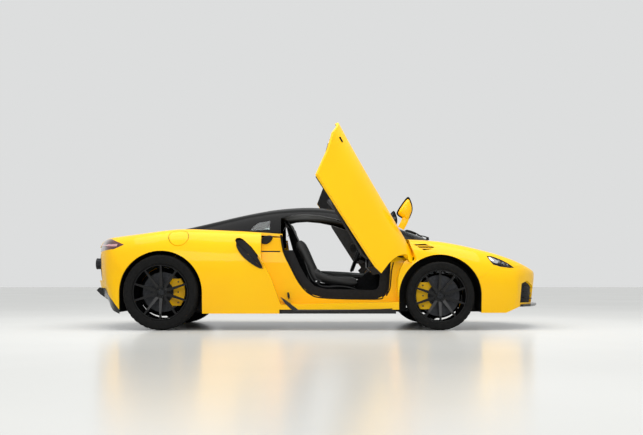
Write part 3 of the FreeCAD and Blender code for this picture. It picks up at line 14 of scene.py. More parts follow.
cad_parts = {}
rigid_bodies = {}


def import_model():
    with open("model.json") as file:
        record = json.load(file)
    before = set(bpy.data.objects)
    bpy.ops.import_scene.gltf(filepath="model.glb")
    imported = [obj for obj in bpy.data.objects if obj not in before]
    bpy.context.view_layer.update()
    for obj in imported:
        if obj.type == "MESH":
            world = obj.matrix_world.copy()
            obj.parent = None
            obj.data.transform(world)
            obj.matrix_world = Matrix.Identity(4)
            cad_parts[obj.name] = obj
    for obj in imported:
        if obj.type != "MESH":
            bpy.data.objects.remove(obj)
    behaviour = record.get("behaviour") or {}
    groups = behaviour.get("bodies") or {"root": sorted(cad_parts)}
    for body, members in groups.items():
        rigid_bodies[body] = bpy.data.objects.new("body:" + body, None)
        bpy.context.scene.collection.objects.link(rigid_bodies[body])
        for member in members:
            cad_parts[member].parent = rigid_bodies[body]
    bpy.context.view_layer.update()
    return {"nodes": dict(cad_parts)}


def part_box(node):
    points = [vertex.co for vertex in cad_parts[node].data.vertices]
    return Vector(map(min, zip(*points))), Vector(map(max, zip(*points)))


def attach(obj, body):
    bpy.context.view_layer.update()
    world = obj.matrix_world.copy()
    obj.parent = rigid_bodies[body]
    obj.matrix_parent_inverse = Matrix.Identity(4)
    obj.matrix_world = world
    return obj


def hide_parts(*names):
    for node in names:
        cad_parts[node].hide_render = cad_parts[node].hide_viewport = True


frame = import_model()
NODES = frame["nodes"]
MM = 0.001


def linear(hex_colour):
    """An sRGB hex colour as linear light."""
    channels = [int(hex_colour[i:i + 2], 16) / 255 for i in (1, 3, 5)]
    return tuple(c / 12.92 if c <= 0.04045 else ((c + 0.055) / 1.055) ** 2.4
                 for c in channels) + (1.0,)


def add_node(owner, kind, settings=None, links=None):
    """Add a node to a material or world, set its properties and inputs, and link its inputs."""
    tree = owner.node_tree
    node = tree.nodes.new(kind)
    for key, value in (settings or {}).items():
        if key in node.inputs:
            node.inputs[key].default_value = value
        else:
            setattr(node, key, value)
    for key, source in (links or {}).items():
        tree.links.new(source, node.inputs[key])
    return node


def feed(material, socket, output):
    """Link a node's output to a socket of the material's main shader."""
    tree = material.node_tree
    tree.links.new(output, tree.nodes["Principled BSDF"].inputs[socket])


def pattern(material, kind, size_mm, settings=None, output="Fac"):
    """The output of a texture whose features have a given size."""
    place = add_node(material, "ShaderNodeTexCoord")
    texture = add_node(material, kind, {"Scale": 1 / (size_mm * MM), **(settings or {})},
                       {"Vector": place.outputs["Object"]})
    return texture.outputs[output]


def tint(material, factor, low, high):
    """Colour the surface by a pattern, between two pairs of position and hex colour."""
    ramp = add_node(material, "ShaderNodeValToRGB", None, {"Fac": factor})
    for element, (position, colour) in zip(ramp.color_ramp.elements, (low, high)):
        element.position = position
        element.color = linear(colour)
    feed(material, "Base Color", ramp.outputs["Color"])


def emboss(material, height, strength, depth_mm, socket="Normal"):
    """Raise the surface by a pattern's height."""
    bump = add_node(material, "ShaderNodeBump", {"Strength": strength, "Distance": depth_mm * MM},
                    {"Height": height})
    feed(material, socket, bump.outputs["Normal"])


def roughen(material, low, high, size_mm):
    """Let the roughness drift between two values over patches of a given size."""
    span = add_node(material, "ShaderNodeMapRange", {"To Min": low, "To Max": high},
                    {"Value": pattern(material, "ShaderNodeTexNoise", size_mm)})
    feed(material, "Roughness", span.outputs["Result"])


def finish(name, settings, colours=None, patch_mm=0.0, grain=None):
    """A named material: values on its shader, a drift between two hex colours over patches of
    a size, and an even grain of bumps given as size in mm, strength and depth in mm."""
    material = bpy.data.materials.new(name)
    material.use_nodes = True
    for key, value in settings.items():
        material.node_tree.nodes["Principled BSDF"].inputs[key].default_value = value
    if colours:
        drift = pattern(material, "ShaderNodeTexNoise", patch_mm, {"Detail": 3.0})
        tint(material, drift, (0.35, colours[0]), (0.65, colours[1]))
    if grain:
        size_mm, strength, depth_mm = grain
        bumps = pattern(material, "ShaderNodeTexNoise", size_mm, {"Detail": 2.0})
        emboss(material, bumps, strength, depth_mm)
    return material


def moulded(name, colours, roughness):
    """Injection-moulded ABS with a fine leather-like grain: dull and slightly mottled."""
    return finish(name, {"Roughness": roughness, "IOR": 1.5, "Specular IOR Level": 0.2},
                  colours, 30, (3.0, 0.25, 0.4))


def rubber(name, colours, roughness):
    """Vulcanised rubber: near black, dull, with a faint bloom."""
    return finish(name, {"Roughness": roughness, "Specular IOR Level": 0.16}, colours, 25,
                  (1.6, 0.3, 0.3))


def metal(name, colours, roughness, size_mm, depth_mm):
    """A bare metal whose surface is uneven at a given size: cast, brushed or polished."""
    return finish(name, {"Metallic": 1.0, "Roughness": roughness}, colours, size_mm * 6,
                  (size_mm, 0.3, depth_mm))


def leather(name, colours, roughness, pebble_mm):
    """Dyed hide with a pebbled grain: small cells with soft creases between them."""
    material = finish(name, {"Roughness": roughness, "Sheen Weight": 0.08, "Sheen Roughness": 0.4},
                      colours, 45)
    cells = pattern(material, "ShaderNodeTexVoronoi", pebble_mm, output="Distance")
    emboss(material, cells, 0.25, 0.5)
    return material


# Finishes. Grain that is too fine to show in the picture is drawn a few times coarser, and this
# is by how much the sizes of woven patterns are multiplied.
WEAVE_COARSE = 6.3

# Solid yellow base coat under clear lacquer: deep even colour, sharp reflections, and the faint
# waviness of sprayed paint
YELLOW = finish("solid_yellow_lacquer", {
    "Roughness": 0.45, "Specular IOR Level": 0.1, "Coat Weight": 0.3, "Coat Roughness": 0.03,
    "Coat IOR": 1.5}, ("#FFC000", "#FFC800"), 900)
emboss(YELLOW, pattern(YELLOW, "ShaderNodeTexNoise", 9, {"Detail": 1.0}), 0.02, 1.0, "Coat Normal")
# Black lacquer on the roof and pillars: deep and even, with a thin clear shine
BLACK = finish("black_lacquer", {
    "Roughness": 0.3, "Specular IOR Level": 0.05, "Coat Weight": 0.1, "Coat Roughness": 0.04},
    ("#020202", "#050506"), 400)
# Satin black powder coat on forged aluminium: soft highlights on the spoke edges
WHEEL_BLACK = finish("black_powder_coat", {
    "Roughness": 0.3, "Specular IOR Level": 0.16, "Coat Weight": 0.28, "Coat Roughness": 0.08},
    ("#040405", "#080809"), 60, (2.5, 0.06, 0.2))
ABS = moulded("moulded_black_abs", ("#0B0B0C", "#131314"), 0.5)
SOFT_TRIM = moulded("soft_touch_trim", ("#121214", "#1A1A1C"), 0.62)
# Twill-woven carbon fibre in clear resin: faint diagonal tows in grey and black
CARBON = finish("carbon_fibre_twill", {
    "Roughness": 0.35, "Specular IOR Level": 0.3, "Coat Weight": 0.4, "Coat Roughness": 0.08})
tows = pattern(CARBON, "ShaderNodeTexWave", 8 * WEAVE_COARSE,
               {"bands_direction": "DIAGONAL", "Distortion": 0.4})
tint(CARBON, tows, (0.0, "#08090A"), (1.0, "#17181A"))
emboss(CARBON, tows, 0.15, 0.3)
# Laminated screen glass: clear with a faint grey-green tint
GLASS = finish("laminated_glass", {"Base Color": linear("#DCE6E4"), "Roughness": 0.0, "IOR": 1.45,
                                   "Transmission Weight": 1.0})
roughen(GLASS, 0.0, 0.02, 300)
# Tinted polycarbonate lamp cover with a hard coat: sharp highlights
LAMP_COVER = finish("polycarbonate_cover", {"Base Color": linear("#8A8D90"), "Roughness": 0.02,
                                            "IOR": 1.35, "Transmission Weight": 1.0})
roughen(LAMP_COVER, 0.01, 0.04, 120)
# Smoked acrylic over the tail lamps: dark with a hint of red inside
SMOKED_RED = finish("smoked_red_acrylic", {
    "Roughness": 0.08, "IOR": 1.49, "Coat Weight": 1.0, "Coat Roughness": 0.03},
    ("#3A0F12", "#5E1A1E"), 45)
TYRE_RUBBER = rubber("tyre_rubber", ("#0C0C0C", "#151515"), 0.8)
SEAL_RUBBER = rubber("seal_rubber", ("#0A0A0A", "#111111"), 0.6)
# Turned cast iron disc: dull dark grey with a fine uneven surface
CAST_IRON = finish("turned_cast_iron", {"Metallic": 0.9, "Roughness": 0.42},
                   ("#2E2F31", "#3C3D40"), 22, (4.0, 0.2, 0.2))
CAST_ALLOY = metal("cast_aluminium", ("#9A9C9E", "#B4B6B8"), 0.45, 5.0, 0.5)
BARE_STEEL = metal("brushed_stainless_steel", ("#A9AAAB", "#C4C5C6"), 0.25, 3.0, 0.1)
DARK_STEEL = metal("phosphated_steel", ("#2B2C2E", "#3A3B3D"), 0.45, 4.0, 0.3)
DARK_PLATE = metal("blackened_steel_plate", ("#0B0B0C", "#141415"), 0.7, 6.0, 0.2)
POLISHED = metal("polished_aluminium", ("#D5D7D9", "#E2E3E4"), 0.12, 8.0, 0.05)
HIDE = leather("black_hide", ("#0E0E0F", "#171718"), 0.5, 7)
SUEDE = leather("black_suede", ("#141415", "#1D1D1F"), 0.85, 4)
# Black moulded mesh: raised webs round cells of 20 mm, with painted shade in the holes: the cells'
# middles are near black
HONEYCOMB = finish("honeycomb_mesh", {"Roughness": 0.6, "Specular IOR Level": 0.12})
cells = pattern(HONEYCOMB, "ShaderNodeTexVoronoi", 20,
                {"feature": "DISTANCE_TO_EDGE", "Randomness": 0.0}, "Distance")
# Painted shade: each cell darkens from its web towards its middle
tint(HONEYCOMB, cells, (0.08, "#1D1D1F"), (0.14, "#020202"))
emboss(HONEYCOMB, cells, 0.6, 3.0)
# Silvered glass with a dark anti-dazzle tint: a dim, sharp reflection
SILVERED = finish("silvered_glass", {"Base Color": linear("#2E3133"), "Metallic": 1.0,
                                     "Roughness": 0.03})
roughen(SILVERED, 0.02, 0.05, 200)
# Clear red acrylic over a light guide: brighter than the smoked cover
TAIL_LENS = finish("red_acrylic_lens", {
    "Roughness": 0.12, "IOR": 1.49, "Coat Weight": 0.6, "Coat Roughness": 0.05},
    ("#B8868A", "#CFA3A5"), 30)
# Woven polyester belt: fine diagonal ribs
WEBBING = finish("woven_polyester", {"Roughness": 0.7, "Sheen Weight": 0.15},
                 ("#101011", "#19191B"), 20)
emboss(WEBBING, pattern(WEBBING, "ShaderNodeTexWave", 5 * WEAVE_COARSE,
                        {"bands_direction": "DIAGONAL"}), 0.3, 0.4)

CORNERS = ("front_right", "front_left", "rear_right", "rear_left")
for material, names in (
        (YELLOW, "bonnet front_bumper front_fenders fuel_flap rear_clamshell side_sills"
                 " door_frames door_right door_left mirror_right mirror_left rear_calipers"
                 " caliper_front_right caliper_front_left"),
        (BLACK, "roof_panel cabin_frame engine_cover"),
        (ABS, "scuttle arch_liners luggage_bin undertrays fuel_filler"),
        (HONEYCOMB, "rear_deck_grille intake_meshes"),
        (GLASS, "windscreen rear_windows"),
        (LAMP_COVER, "headlamps"),
        (SMOKED_RED, "rear_lamps"),
        (CARBON, "splitter diffuser tub"),
        (CAST_ALLOY, "chassis_rails powertrain rear_uprights knuckle_right knuckle_left"),
        (DARK_STEEL, "suspension_arms door_hinges exhaust_tips"),
        (HIDE, "seats steering_wheel"),
        (SOFT_TRIM, "dashboard console sill_trims"),
        (SUEDE, "door_trim_right door_trim_left"),
        (TYRE_RUBBER, " ".join("tyre_" + corner for corner in CORNERS)),
        (WHEEL_BLACK, " ".join("rim_" + corner for corner in CORNERS)),
        (CAST_IRON, " ".join("disc_" + corner for corner in CORNERS))):
    for name in names.split():
        for socket in NODES[name].material_slots:
            socket.material = material


# Making pieces
def mesh_from(build):
    """A mesh made by a function that fills a bmesh."""
    bm = bmesh.new()
    build(bm)
    bmesh.ops.recalc_face_normals(bm, faces=bm.faces)
    mesh = bpy.data.meshes.new("mesh")
    bm.to_mesh(mesh)
    bm.free()
    return mesh


def new_piece(name, mesh, material, body):
    """A mesh as a named smooth piece with one material, riding on a body."""
    piece = bpy.data.objects.new(name, mesh)
    bpy.context.scene.collection.objects.link(piece)
    mesh.materials.append(material)
    for polygon in mesh.polygons:
        polygon.use_smooth = True
    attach(piece, body)
    return piece


CRISP_ANGLE = math.radians(35)
TO_METRES = Matrix.Scale(MM, 4)
MIRRORED = Matrix.Scale(-1, 4, Vector((0, 1, 0)))
UNMOVED = Matrix.Identity(4)
CAR = ("car", "car")
DOORS = ("door_right", "door_left")


def crisp_piece(name, mesh, material, body):
    """A named piece whose sharp edges stay sharp."""
    piece = new_piece(name, mesh, material, body)
    bm = bmesh.new()
    bm.from_mesh(mesh)
    for edge in bm.edges:
        if len(edge.link_faces) == 2 and edge.calc_face_angle(0) > CRISP_ANGLE:
            edge.smooth = False
    bm.to_mesh(mesh)
    bm.free()
    return piece


def made(name, build, material, body, move=UNMOVED):
    """One named piece from a function that builds it in millimetres."""
    mesh = mesh_from(build)
    mesh.transform(move)
    mesh.transform(TO_METRES)
    return crisp_piece(name, mesh, material, body)


def made_pair(name, build, material, bodies, move=UNMOVED):
    """A right piece and its mirror image, riding on a body each."""
    made(name + "_right", build, material, bodies[0], move)
    left = made(name + "_left", build, material, bodies[1], MIRRORED @ move)
    left.data.flip_normals()


def single(material, body="car", move=UNMOVED):
    """Make the piece that the build function below is named for."""
    return lambda build: made(build.__name__, build, material, body, move)


def pair(material, bodies=CAR, move=UNMOVED):
    """Make the right and the left piece that the build function below is named for."""
    return lambda build: made_pair(build.__name__, build, material, bodies, move)


# Shapes
def add_skin(bm, rings, closed=True, capped=True, looped=False):
    """Faces between neighbouring rings of vertices. Closed rings join end to end, caps fill the
    first and the last ring, and a loop joins those two instead."""
    count = len(rings[0])
    for here, after in zip(rings, rings[1:] + rings[:1] if looped else rings[1:]):
        for i in range(count if closed else count - 1):
            j = (i + 1) % count
            bm.faces.new((here[i], here[j], after[j], after[i]))
    if capped:
        bm.faces.new(rings[0])
        bm.faces.new(rings[-1])


def smooth_line(points, steps, closed=False):
    """A rounded line through points in the plane or in space."""
    points = [Vector(p) for p in points]
    count = len(points)
    line = []
    for i in range(count if closed else count - 1):
        a = points[i - 1] if closed or i else points[0]
        b, c = points[i], points[(i + 1) % count]
        d = points[(i + 2) % count] if closed or i + 2 < count else points[-1]
        for step in range(steps):
            t = step / steps
            line.append(0.5 * (2 * b + (c - a) * t + (2 * a - 5 * b + 4 * c - d) * t * t
                               + (3 * b - a - 3 * c + d) * t ** 3))
    if not closed:
        line.append(points[-1])
    return line


def add_tube(bm, line, section, up, steps=0, closed=False):
    """Sweep a section of (side, up) points along a line, which steps make a rounded one."""
    if len(line) < 2:
        return
    line = smooth_line(line, steps, closed) if steps else [Vector(p) for p in line]
    rings = []
    count = len(line)
    for i, point in enumerate(line):
        before = line[i - 1] if closed or i else point
        after = line[(i + 1) % count] if closed or i + 1 < count else point
        ahead = (after - before).normalized()
        side = ahead.cross(Vector(up)).normalized()
        top = side.cross(ahead).normalized()
        rings.append([bm.verts.new(point + side * a + top * b) for a, b in section])
    add_skin(bm, rings, capped=not closed, looped=closed)


def circle(radius, sides=10, squash=1.0):
    """A round or flattened section."""
    angles = [2 * math.pi * i / sides for i in range(sides)]
    return [(radius * math.cos(a), radius * squash * math.sin(a)) for a in angles]


def flat(width, height, corner):
    """A flat bar with cut corners."""
    a, b = width / 2, height / 2
    return [(-a, -b + corner), (-a + corner, -b), (a - corner, -b), (a, -b + corner),
            (a, b - corner), (a - corner, b), (-a + corner, b), (-a, b - corner)]


def add_spun(bm, profile, steps, place=UNMOVED):
    """Turn (outwards, radius) points round the Y axis as on the right side, and place them."""
    rings = []
    for step in range(steps):
        angle = 2 * math.pi * step / steps
        rings.append([bm.verts.new((r * math.sin(angle), -y, r * math.cos(angle)))
                      for y, r in profile])
    add_skin(bm, rings, closed=False, capped=False, looped=True)
    turned = [v for ring in rings for v in ring]
    bmesh.ops.remove_doubles(bm, verts=turned, dist=0.01)
    bmesh.ops.transform(bm, matrix=place, verts=[v for v in turned if v.is_valid])


def add_slab(bm, outline, low, high, corner, axis="Y"):
    """A flat plate with softened edges, from an outline and two levels on an axis."""
    middle = Vector((sum(p[0] for p in outline), sum(p[1] for p in outline))) / len(outline)
    span = max((Vector(p) - middle).length for p in outline)
    inset = math.copysign(corner, high - low)
    rings = []
    for level, cut in ((low, corner), (low + inset, 0), (high - inset, 0), (high, corner)):
        ring = []
        for p in outline:
            spot = list(middle + (Vector(p) - middle) * (1 - cut / span))
            spot.insert("XYZ".index(axis), level)
            ring.append(bm.verts.new(spot))
        rings.append(ring)
    add_skin(bm, rings)


# Finding the surface of CAD nodes
ABOVE = 2000      # over everything, for rays that look down
OUTSIDE = -1800   # beyond the open right door, for rays that look in from the side


@cache
def tree_of(nodes):
    """One search tree over the meshes of some CAD nodes."""
    points, faces = [], []
    for node in nodes:
        mesh = NODES[node].data
        start = len(points)
        points += [v.co.copy() for v in mesh.vertices]
        faces += [[start + i for i in polygon.vertices] for polygon in mesh.polygons]
    return BVHTree.FromPolygons(points, faces)


def cast(nodes, start, direction):
    """Where a ray in millimetres meets some CAD nodes, with the normal that faces it."""
    place, normal, _, _ = tree_of(nodes).ray_cast(Vector(start) * MM, Vector(direction))
    if place is None:
        return None, None
    return place / MM, -normal if normal.dot(Vector(direction)) > 0 else normal


def top_at(nodes, x, y):
    """The highest point of some CAD nodes at a place, or None."""
    return cast(nodes, (x, y, ABOVE), (0, 0, -1))[0]


def surface_y(nodes, x, z, spare):
    """How far out the right side of some CAD nodes is at a place, or a spare value."""
    place, _ = cast(nodes, (x, OUTSIDE, z), (0, 1, 0))
    return place.y if place is not None else spare


def draped(nodes, spots, lift):
    """Points at a height over some CAD nodes, above those (x, y) spots where the nodes are."""
    places = [top_at(nodes, x, y) for x, y in spots]
    return [place + Vector((0, 0, lift)) for place in places if place is not None]


def beside(nodes, spots, off):
    """Points at a distance off the right side of some CAD nodes, beside (x, z) spots."""
    hits = [cast(nodes, (x, OUTSIDE, z), (0, 1, 0)) for x, z in spots]
    return [place + normal * off for place, normal in hits if place is not None]


# Tyres with rounded shoulders, grooves and side wall ribs
TYRE_STEPS = 160
CUT_EVERY = 4          # steps round the tyre from one cross cut to the next
CUT_DEPTH = 0.012      # as a share of the tyre's radius
GROOVE_FLOOR = 0.90    # as shares of the side wall's height
SHOULDER_TOP = 0.978


def tyre_profile(radius, width, rim_radius):
    """Side place, radius and block flag of points across one tyre, from bead to bead."""
    half = [
        (0.86, 0.02, 0), (0.90, 0.07, 0), (0.93, 0.10, 0), (0.955, 0.12, 0), (0.96, 0.20, 0),
        (0.985, 0.33, 0), (1.0, 0.47, 0), (0.997, 0.60, 0), (0.985, 0.72, 0), (0.988, 0.735, 0),
        (0.97, 0.80, 0), (0.93, 0.885, 0), (0.87, 0.945, 1)]
    for outer, inner in ((0.79, 0.62), (0.56, 0.26), (0.20, 0.02)):
        half += [(outer, SHOULDER_TOP + (0.79 - outer) * 0.028, 1),
                 (inner, SHOULDER_TOP + (0.79 - inner) * 0.028, 1),
                 (inner - 0.008, GROOVE_FLOOR, 0), (inner - 0.05, GROOVE_FLOOR, 0)]
    half[-2:] = [(0.012, GROOVE_FLOOR, 0)]
    rise = radius - rim_radius
    right = [(-w * width / 2, rim_radius + r * rise, block) for w, r, block in half]
    return right + [(-w, r, block) for w, r, block in reversed(right)]


def add_tyre(bm, radius, width, rim_radius):
    """A closed tyre skin round the Y axis, with cross cuts in the shoulder blocks."""
    profile = tyre_profile(radius, width, rim_radius)
    rings = []
    for step in range(TYRE_STEPS):
        angle = 2 * math.pi * step / TYRE_STEPS
        cut = 0 if step % CUT_EVERY else CUT_DEPTH * radius
        ring = []
        for y, r, block in profile:
            reach = r - (cut if block and abs(y) > width * 0.3 else 0)
            ring.append(bm.verts.new((reach * math.sin(angle), y, reach * math.cos(angle))))
        rings.append(ring)
    add_skin(bm, rings, capped=False, looped=True)


for end, rim_radius in (("front", 0.246), ("rear", 0.260)):
    low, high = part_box("tyre_%s_right" % end)
    tyre_mesh = mesh_from(
        lambda bm: add_tyre(bm, (high.z - low.z) / 2, high.y - low.y, rim_radius))
    for side in ("right", "left"):
        node = "tyre_%s_%s" % (end, side)
        mesh = tyre_mesh.copy()
        mesh.transform(Matrix.Translation(sum(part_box(node), Vector()) / 2))
        tyre = new_piece("treaded_" + node, mesh, TYRE_RUBBER, "wheel_%s_%s" % (end, side))
        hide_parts(node)


# Wheels: centre caps, bolts, valves, brake disc holes, dust shields and caliper pads
BOLTS = 5
BOLT_CIRCLE = 50
HOLES_IN_ROW = 24
HOLES_Y = 10.4
HOLES_PROUD = 0.9
HUB_FACE = 56     # from the tyre's outer side in to the face of the hub


def add_cap(bm, face):
    """A round cap with a rolled edge and a raised ring."""
    add_spun(bm, [(face, 0.01), (face + 6, 6), (face + 7, 16), (face + 6, 22), (face + 9, 24),
                  (face + 9, 29), (face + 5, 33), (face - 8, 34)], 40)


def add_bolts(bm, face):
    """Conical wheel bolts with hexagon heads and sockets."""
    for i in range(BOLTS):
        angle = 2 * math.pi * (i + 0.25) / BOLTS
        centre = Vector((BOLT_CIRCLE * math.sin(angle), 0, BOLT_CIRCLE * math.cos(angle)))
        add_spun(bm, [(face - 12, 12), (face + 2, 12), (face + 6, 9.5), (face + 17, 9.5),
                      (face + 19, 7.5), (face + 19, 5), (face + 13, 5), (face + 13, 0.01)], 6,
                 Matrix.Translation(centre))


def add_disc_holes(bm, disc):
    """Drilled holes of the brake disc, as flat dark patches: painted shade for the dark inside the
    holes.
    """
    for row, share in enumerate((0.60, 0.72, 0.84, 0.94)):
        for i in range(HOLES_IN_ROW):
            angle = 2 * math.pi * (i + row * 0.23) / HOLES_IN_ROW
            centre = Vector((disc * share * math.sin(angle), 0, disc * share * math.cos(angle)))
            bm.faces.new([bm.verts.new(centre + Vector((x, HOLES_Y, z)))
                          for z, x in circle(4, 8)])


def add_caliper_pads(bm, disc, facing):
    """Dark pads, bridges and bolts that part the caliper's face into three."""
    outer = disc + 25.5
    for z in (-46, 46):
        add_tube(bm, [(facing * x, 18.5, z) for x in (disc - 86, disc - 40, outer - 8)],
                 flat(16, 6, 2), (0, -1, 0))
        add_tube(bm, [(facing * (outer - 2), y, z) for y in (12, 42, 62)],
                 flat(16, 8, 2), (facing, 0, 0))
    for z in (-98, 0, 98):
        place = Matrix.Translation((facing * (disc - 38), -20, z))
        bmesh.ops.create_cone(bm, cap_ends=True, segments=6, radius1=8, radius2=7, depth=8,
                              matrix=place @ Matrix.Rotation(math.pi / 2, 4, "X"))


def add_valve(bm, rim):
    """A rubber-footed tyre valve with its cap."""
    add_tube(bm, [(0, -62, rim - 18), (0, -74, rim - 30), (0, -92, rim - 42)],
             circle(4.5, 8), (1, 0, 0))


def add_dust_shield(bm, rim):
    """A thin dished plate behind the brake disc, with a turned rim."""
    reach = rim - 32
    add_spun(bm, [(-64, 60), (-64, 130), (-60, reach - 12), (-48, reach), (-50, reach + 1.5),
                  (-62, reach - 10), (-66, 130), (-66, 60), (-64, 60)], 56)


# The right wheel's centre, rim radius, tyre width, disc radius, the way that the caliper lies
# from the hub, and the bodies that carry it
for end, centre, rim, width, disc, facing, carriers in (
        ("front", (1174.5, -825.0, 323.5), 246.0, 235.0, 195.0, -1,
         ("knuckle_right", "knuckle_left")),
        ("rear", (-1465.5, -806.5, 357.0), 260.0, 295.0, 190.0, 1, CAR)):
    face = width / 2 - HUB_FACE
    wheels = ("wheel_%s_right" % end, "wheel_%s_left" % end)
    for name, build, material, bodies, slot_name, out in (
            ("centre_cap_", lambda bm: add_cap(bm, face), DARK_STEEL, wheels, "steel", 0),
            ("wheel_bolts_", lambda bm: add_bolts(bm, face), DARK_STEEL, wheels, "steel", 0),
            ("tyre_valve_", lambda bm: add_valve(bm, rim), SEAL_RUBBER, wheels, "rubber_tyre", 0),
            # Painted shade for the disc's holes
            ("disc_holes_", lambda bm: add_disc_holes(bm, disc), DARK_STEEL, wheels, "disc_iron",
             HOLES_PROUD),
            ("dust_shield_", lambda bm: add_dust_shield(bm, rim), DARK_PLATE, carriers, "steel",
             0),
            ("caliper_pads_", lambda bm: add_caliper_pads(bm, disc, facing), DARK_STEEL, carriers,
             "steel", 0)):
        made_pair(name + end, build, material, bodies,
                  Matrix.Translation(Vector(centre) - Vector((0, out, 0))))


# Door openings: seals, linings, latch parts and strikers
HINGE_POINT = Vector((814.5, -780.0, 800.0))
HINGE_AXIS = Vector((0.404, -0.734, -0.546)).normalized()
DOOR_ANGLE = math.radians(65.4)
# Takes a place on the closed right door to where it is on the open one
OPEN_DOOR = (Matrix.Translation(HINGE_POINT) @ Matrix.Rotation(-DOOR_ANGLE, 4, HINGE_AXIS)
             @ Matrix.Translation(-HINGE_POINT))
LINING_OUTER_Y = -866.0
LINING_TOP_Z = 1800.0
LINING_FACING = -0.35
LINING_OFF = 0.8


@pair(SEAL_RUBBER)
def aperture_seal(bm):
    add_tube(bm, [(x, -787, z) for x, z in (
        (-337.5, 905), (-307.5, 741), (-230.5, 568), (-154.5, 434), (-58.5, 338), (85.5, 300),
        (574.5, 290), (644.5, 318), (688.5, 380), (700.5, 470), (708.5, 616), (712.0, 760))],
        circle(10), (0, 1, 0), 8)


@pair(SOFT_TRIM, DOORS, OPEN_DOOR)
def door_lining(bm):
    """Black backing that follows the faces of the door that look into the cabin."""
    bm.from_mesh(NODES["door_right"].data)
    bm.transform(OPEN_DOOR.inverted() @ Matrix.Scale(1 / MM, 4))
    bm.normal_update()
    outward = [face for face in bm.faces
               if face.calc_center_median().y < LINING_OUTER_Y or face.normal.y < LINING_FACING
               or (OPEN_DOOR @ face.calc_center_median()).z > LINING_TOP_Z]
    bmesh.ops.delete(bm, geom=outward, context="FACES")
    bm.normal_update()
    for v in bm.verts:
        v.co += v.normal * LINING_OFF


@pair(ABS)
def latch_cover(bm):
    """A rounded cover over the latch, behind the door's opening."""
    outline = [(-540, 848), (-520, 874), (-470, 898), (-425, 896), (-418, 872), (-440, 838),
               (-478, 816), (-520, 822)]
    add_slab(bm, smooth_line(outline, 5, True), -770, -797, 8)


@pair(DARK_STEEL)
def door_striker(bm):
    """A plate with the loop that the door's latch grips."""
    add_slab(bm, [(-276, 352), (-262, 356), (-252, 330), (-250, 300), (-262, 292), (-274, 318)],
             -790, -802, 3)
    add_tube(bm, [(-262, -800, 346), (-262, -822, 338), (-262, -822, 312), (-262, -800, 304)],
             circle(5, 8), (1, 0, 0), 5)


@pair(YELLOW)
def latch_plate(bm):
    """The yellow plate that carries the latch cover."""
    add_slab(bm, [(-526, 700), (-330, 700), (-312, 800), (-345, 872), (-430, 884), (-520, 860)],
             -764, -782, 3)


@pair(SEAL_RUBBER)
def pillar_seal(bm):
    """Two seals along the screen pillar's foot."""
    for shift, radius in ((0, 9), (26, 6)):
        add_tube(bm, [(742 + shift, -788, 640), (724 + shift, -788, 560), (716 + shift, -788, 470),
                      (706 + shift, -788, 390), (672 + shift * 0.6, -788, 322)],
                 circle(radius, 8), (0, 1, 0), 7)


# Carbon fins behind the doors, and the thin blades that run from them to the front wheels
SILL_NODES = ("side_sills", "rear_clamshell", "tub")
SILL_FOOT_Z = 206
SKIN_Y = -900     # about where the body's side is, for a ray that misses it


@pair(CARBON)
def sill_fin(bm):
    """A fin that follows the body inside and stands flat outside."""
    outline = [(-336, 314), (-318, 304), (-262, 264), (-200, 218), (-172, 198), (-170, 178),
               (-196, 176), (-238, 200), (-290, 250), (-326, 298)]
    places = [surface_y(SILL_NODES, x, max(z, SILL_FOOT_Z), SKIN_Y) for x, z in outline]
    proud = min(places) - 5
    add_skin(bm, [[bm.verts.new((x, y + 6, z)) for (x, z), y in zip(outline, places)],
                  [bm.verts.new((x, proud, z)) for x, z in outline]])


@pair(CARBON)
def sill_blade(bm):
    add_tube(bm, [(x, surface_y(SILL_NODES, x, SILL_FOOT_Z, SKIN_Y) - 1, z) for x, z in (
        (-180, 186), (0, 186), (200, 188), (400, 190), (600, 194), (720, 200))],
        flat(9, 18, 3), (0, -1, 0))


# Black dishes in the side intakes, painted shade for the dark inside their mouths, and the catches
# near the tips of the doors
@pair(ABS)
def intake_shade_dish(bm):
    """A black dish that gives the intake its teardrop outline: painted shade for the dark inside
    the intake's mouth.
    """
    clamshell = ("rear_clamshell",)
    line = smooth_line((
        (-758, 814), (-740, 848), (-694, 846), (-641, 803), (-586, 732), (-539, 661),
        (-508, 596), (-523, 581), (-575, 604), (-645, 652), (-704, 708), (-744, 767)), 6, True)
    edge = [surface_y(clamshell, x, z, SKIN_Y) for x, z in line]
    middle = Vector((-640, sum(edge) / len(edge), 716))
    rings = [[bm.verts.new((x, y + 4, z)) for (x, z), y in zip(line, edge)]]
    for share in (1.0, 0.92, 0.84, 0.76, 0.66, 0.55, 0.43, 0.3, 0.16, 0.05):
        ring = []
        for (x, z), y in zip(line, edge):
            place = middle + (Vector((x, y, z)) - middle) * share
            skin = surface_y(clamshell, place.x, place.z, place.y)
            ring.append(bm.verts.new((place.x, min(skin, place.y) - 7, place.z)))
        rings.append(ring)
    add_skin(bm, rings, capped=False)
    bm.faces.new(rings[-1])


@pair(ABS, DOORS)
def door_latch(bm):
    add_tube(bm, [(x, surface_y(("door_right",), x, z, -1400), z)
                  for x, z in ((214, 1768), (226, 1746), (240, 1722))],
             flat(24, 8, 2), (0, -1, 0))


# Windscreen border, wipers and cowl
@single(BLACK)
def screen_border(bm):
    """A black band just inside the windscreen's edge."""
    screen = ("windscreen",)
    outer = smooth_line((
        (224.5, -490), (639.5, -555), (949.5, -590), (1114.5, -430), (1160, 0), (1114.5, 430),
        (949.5, 590), (639.5, 555), (224.5, 490), (204, 0)), 10, True)
    middle = Vector((690, 0))
    rings = [[], [], [], []]
    for p in outer:
        reach, place = 1.0, None
        while place is None and reach > 0.6:
            reach -= 0.006
            place = top_at(screen, *(middle + (p - middle) * reach))
        for ring, share in zip(rings, (0.996, 0.97, 0.94, 0.92)):
            spot = middle + (p - middle) * (reach * share)
            place = top_at(screen, *spot)
            ring.append(bm.verts.new(place + Vector((0, 0, 0.8)) if place is not None
                                     else spot.to_3d()))
    add_skin(bm, rings, capped=False)


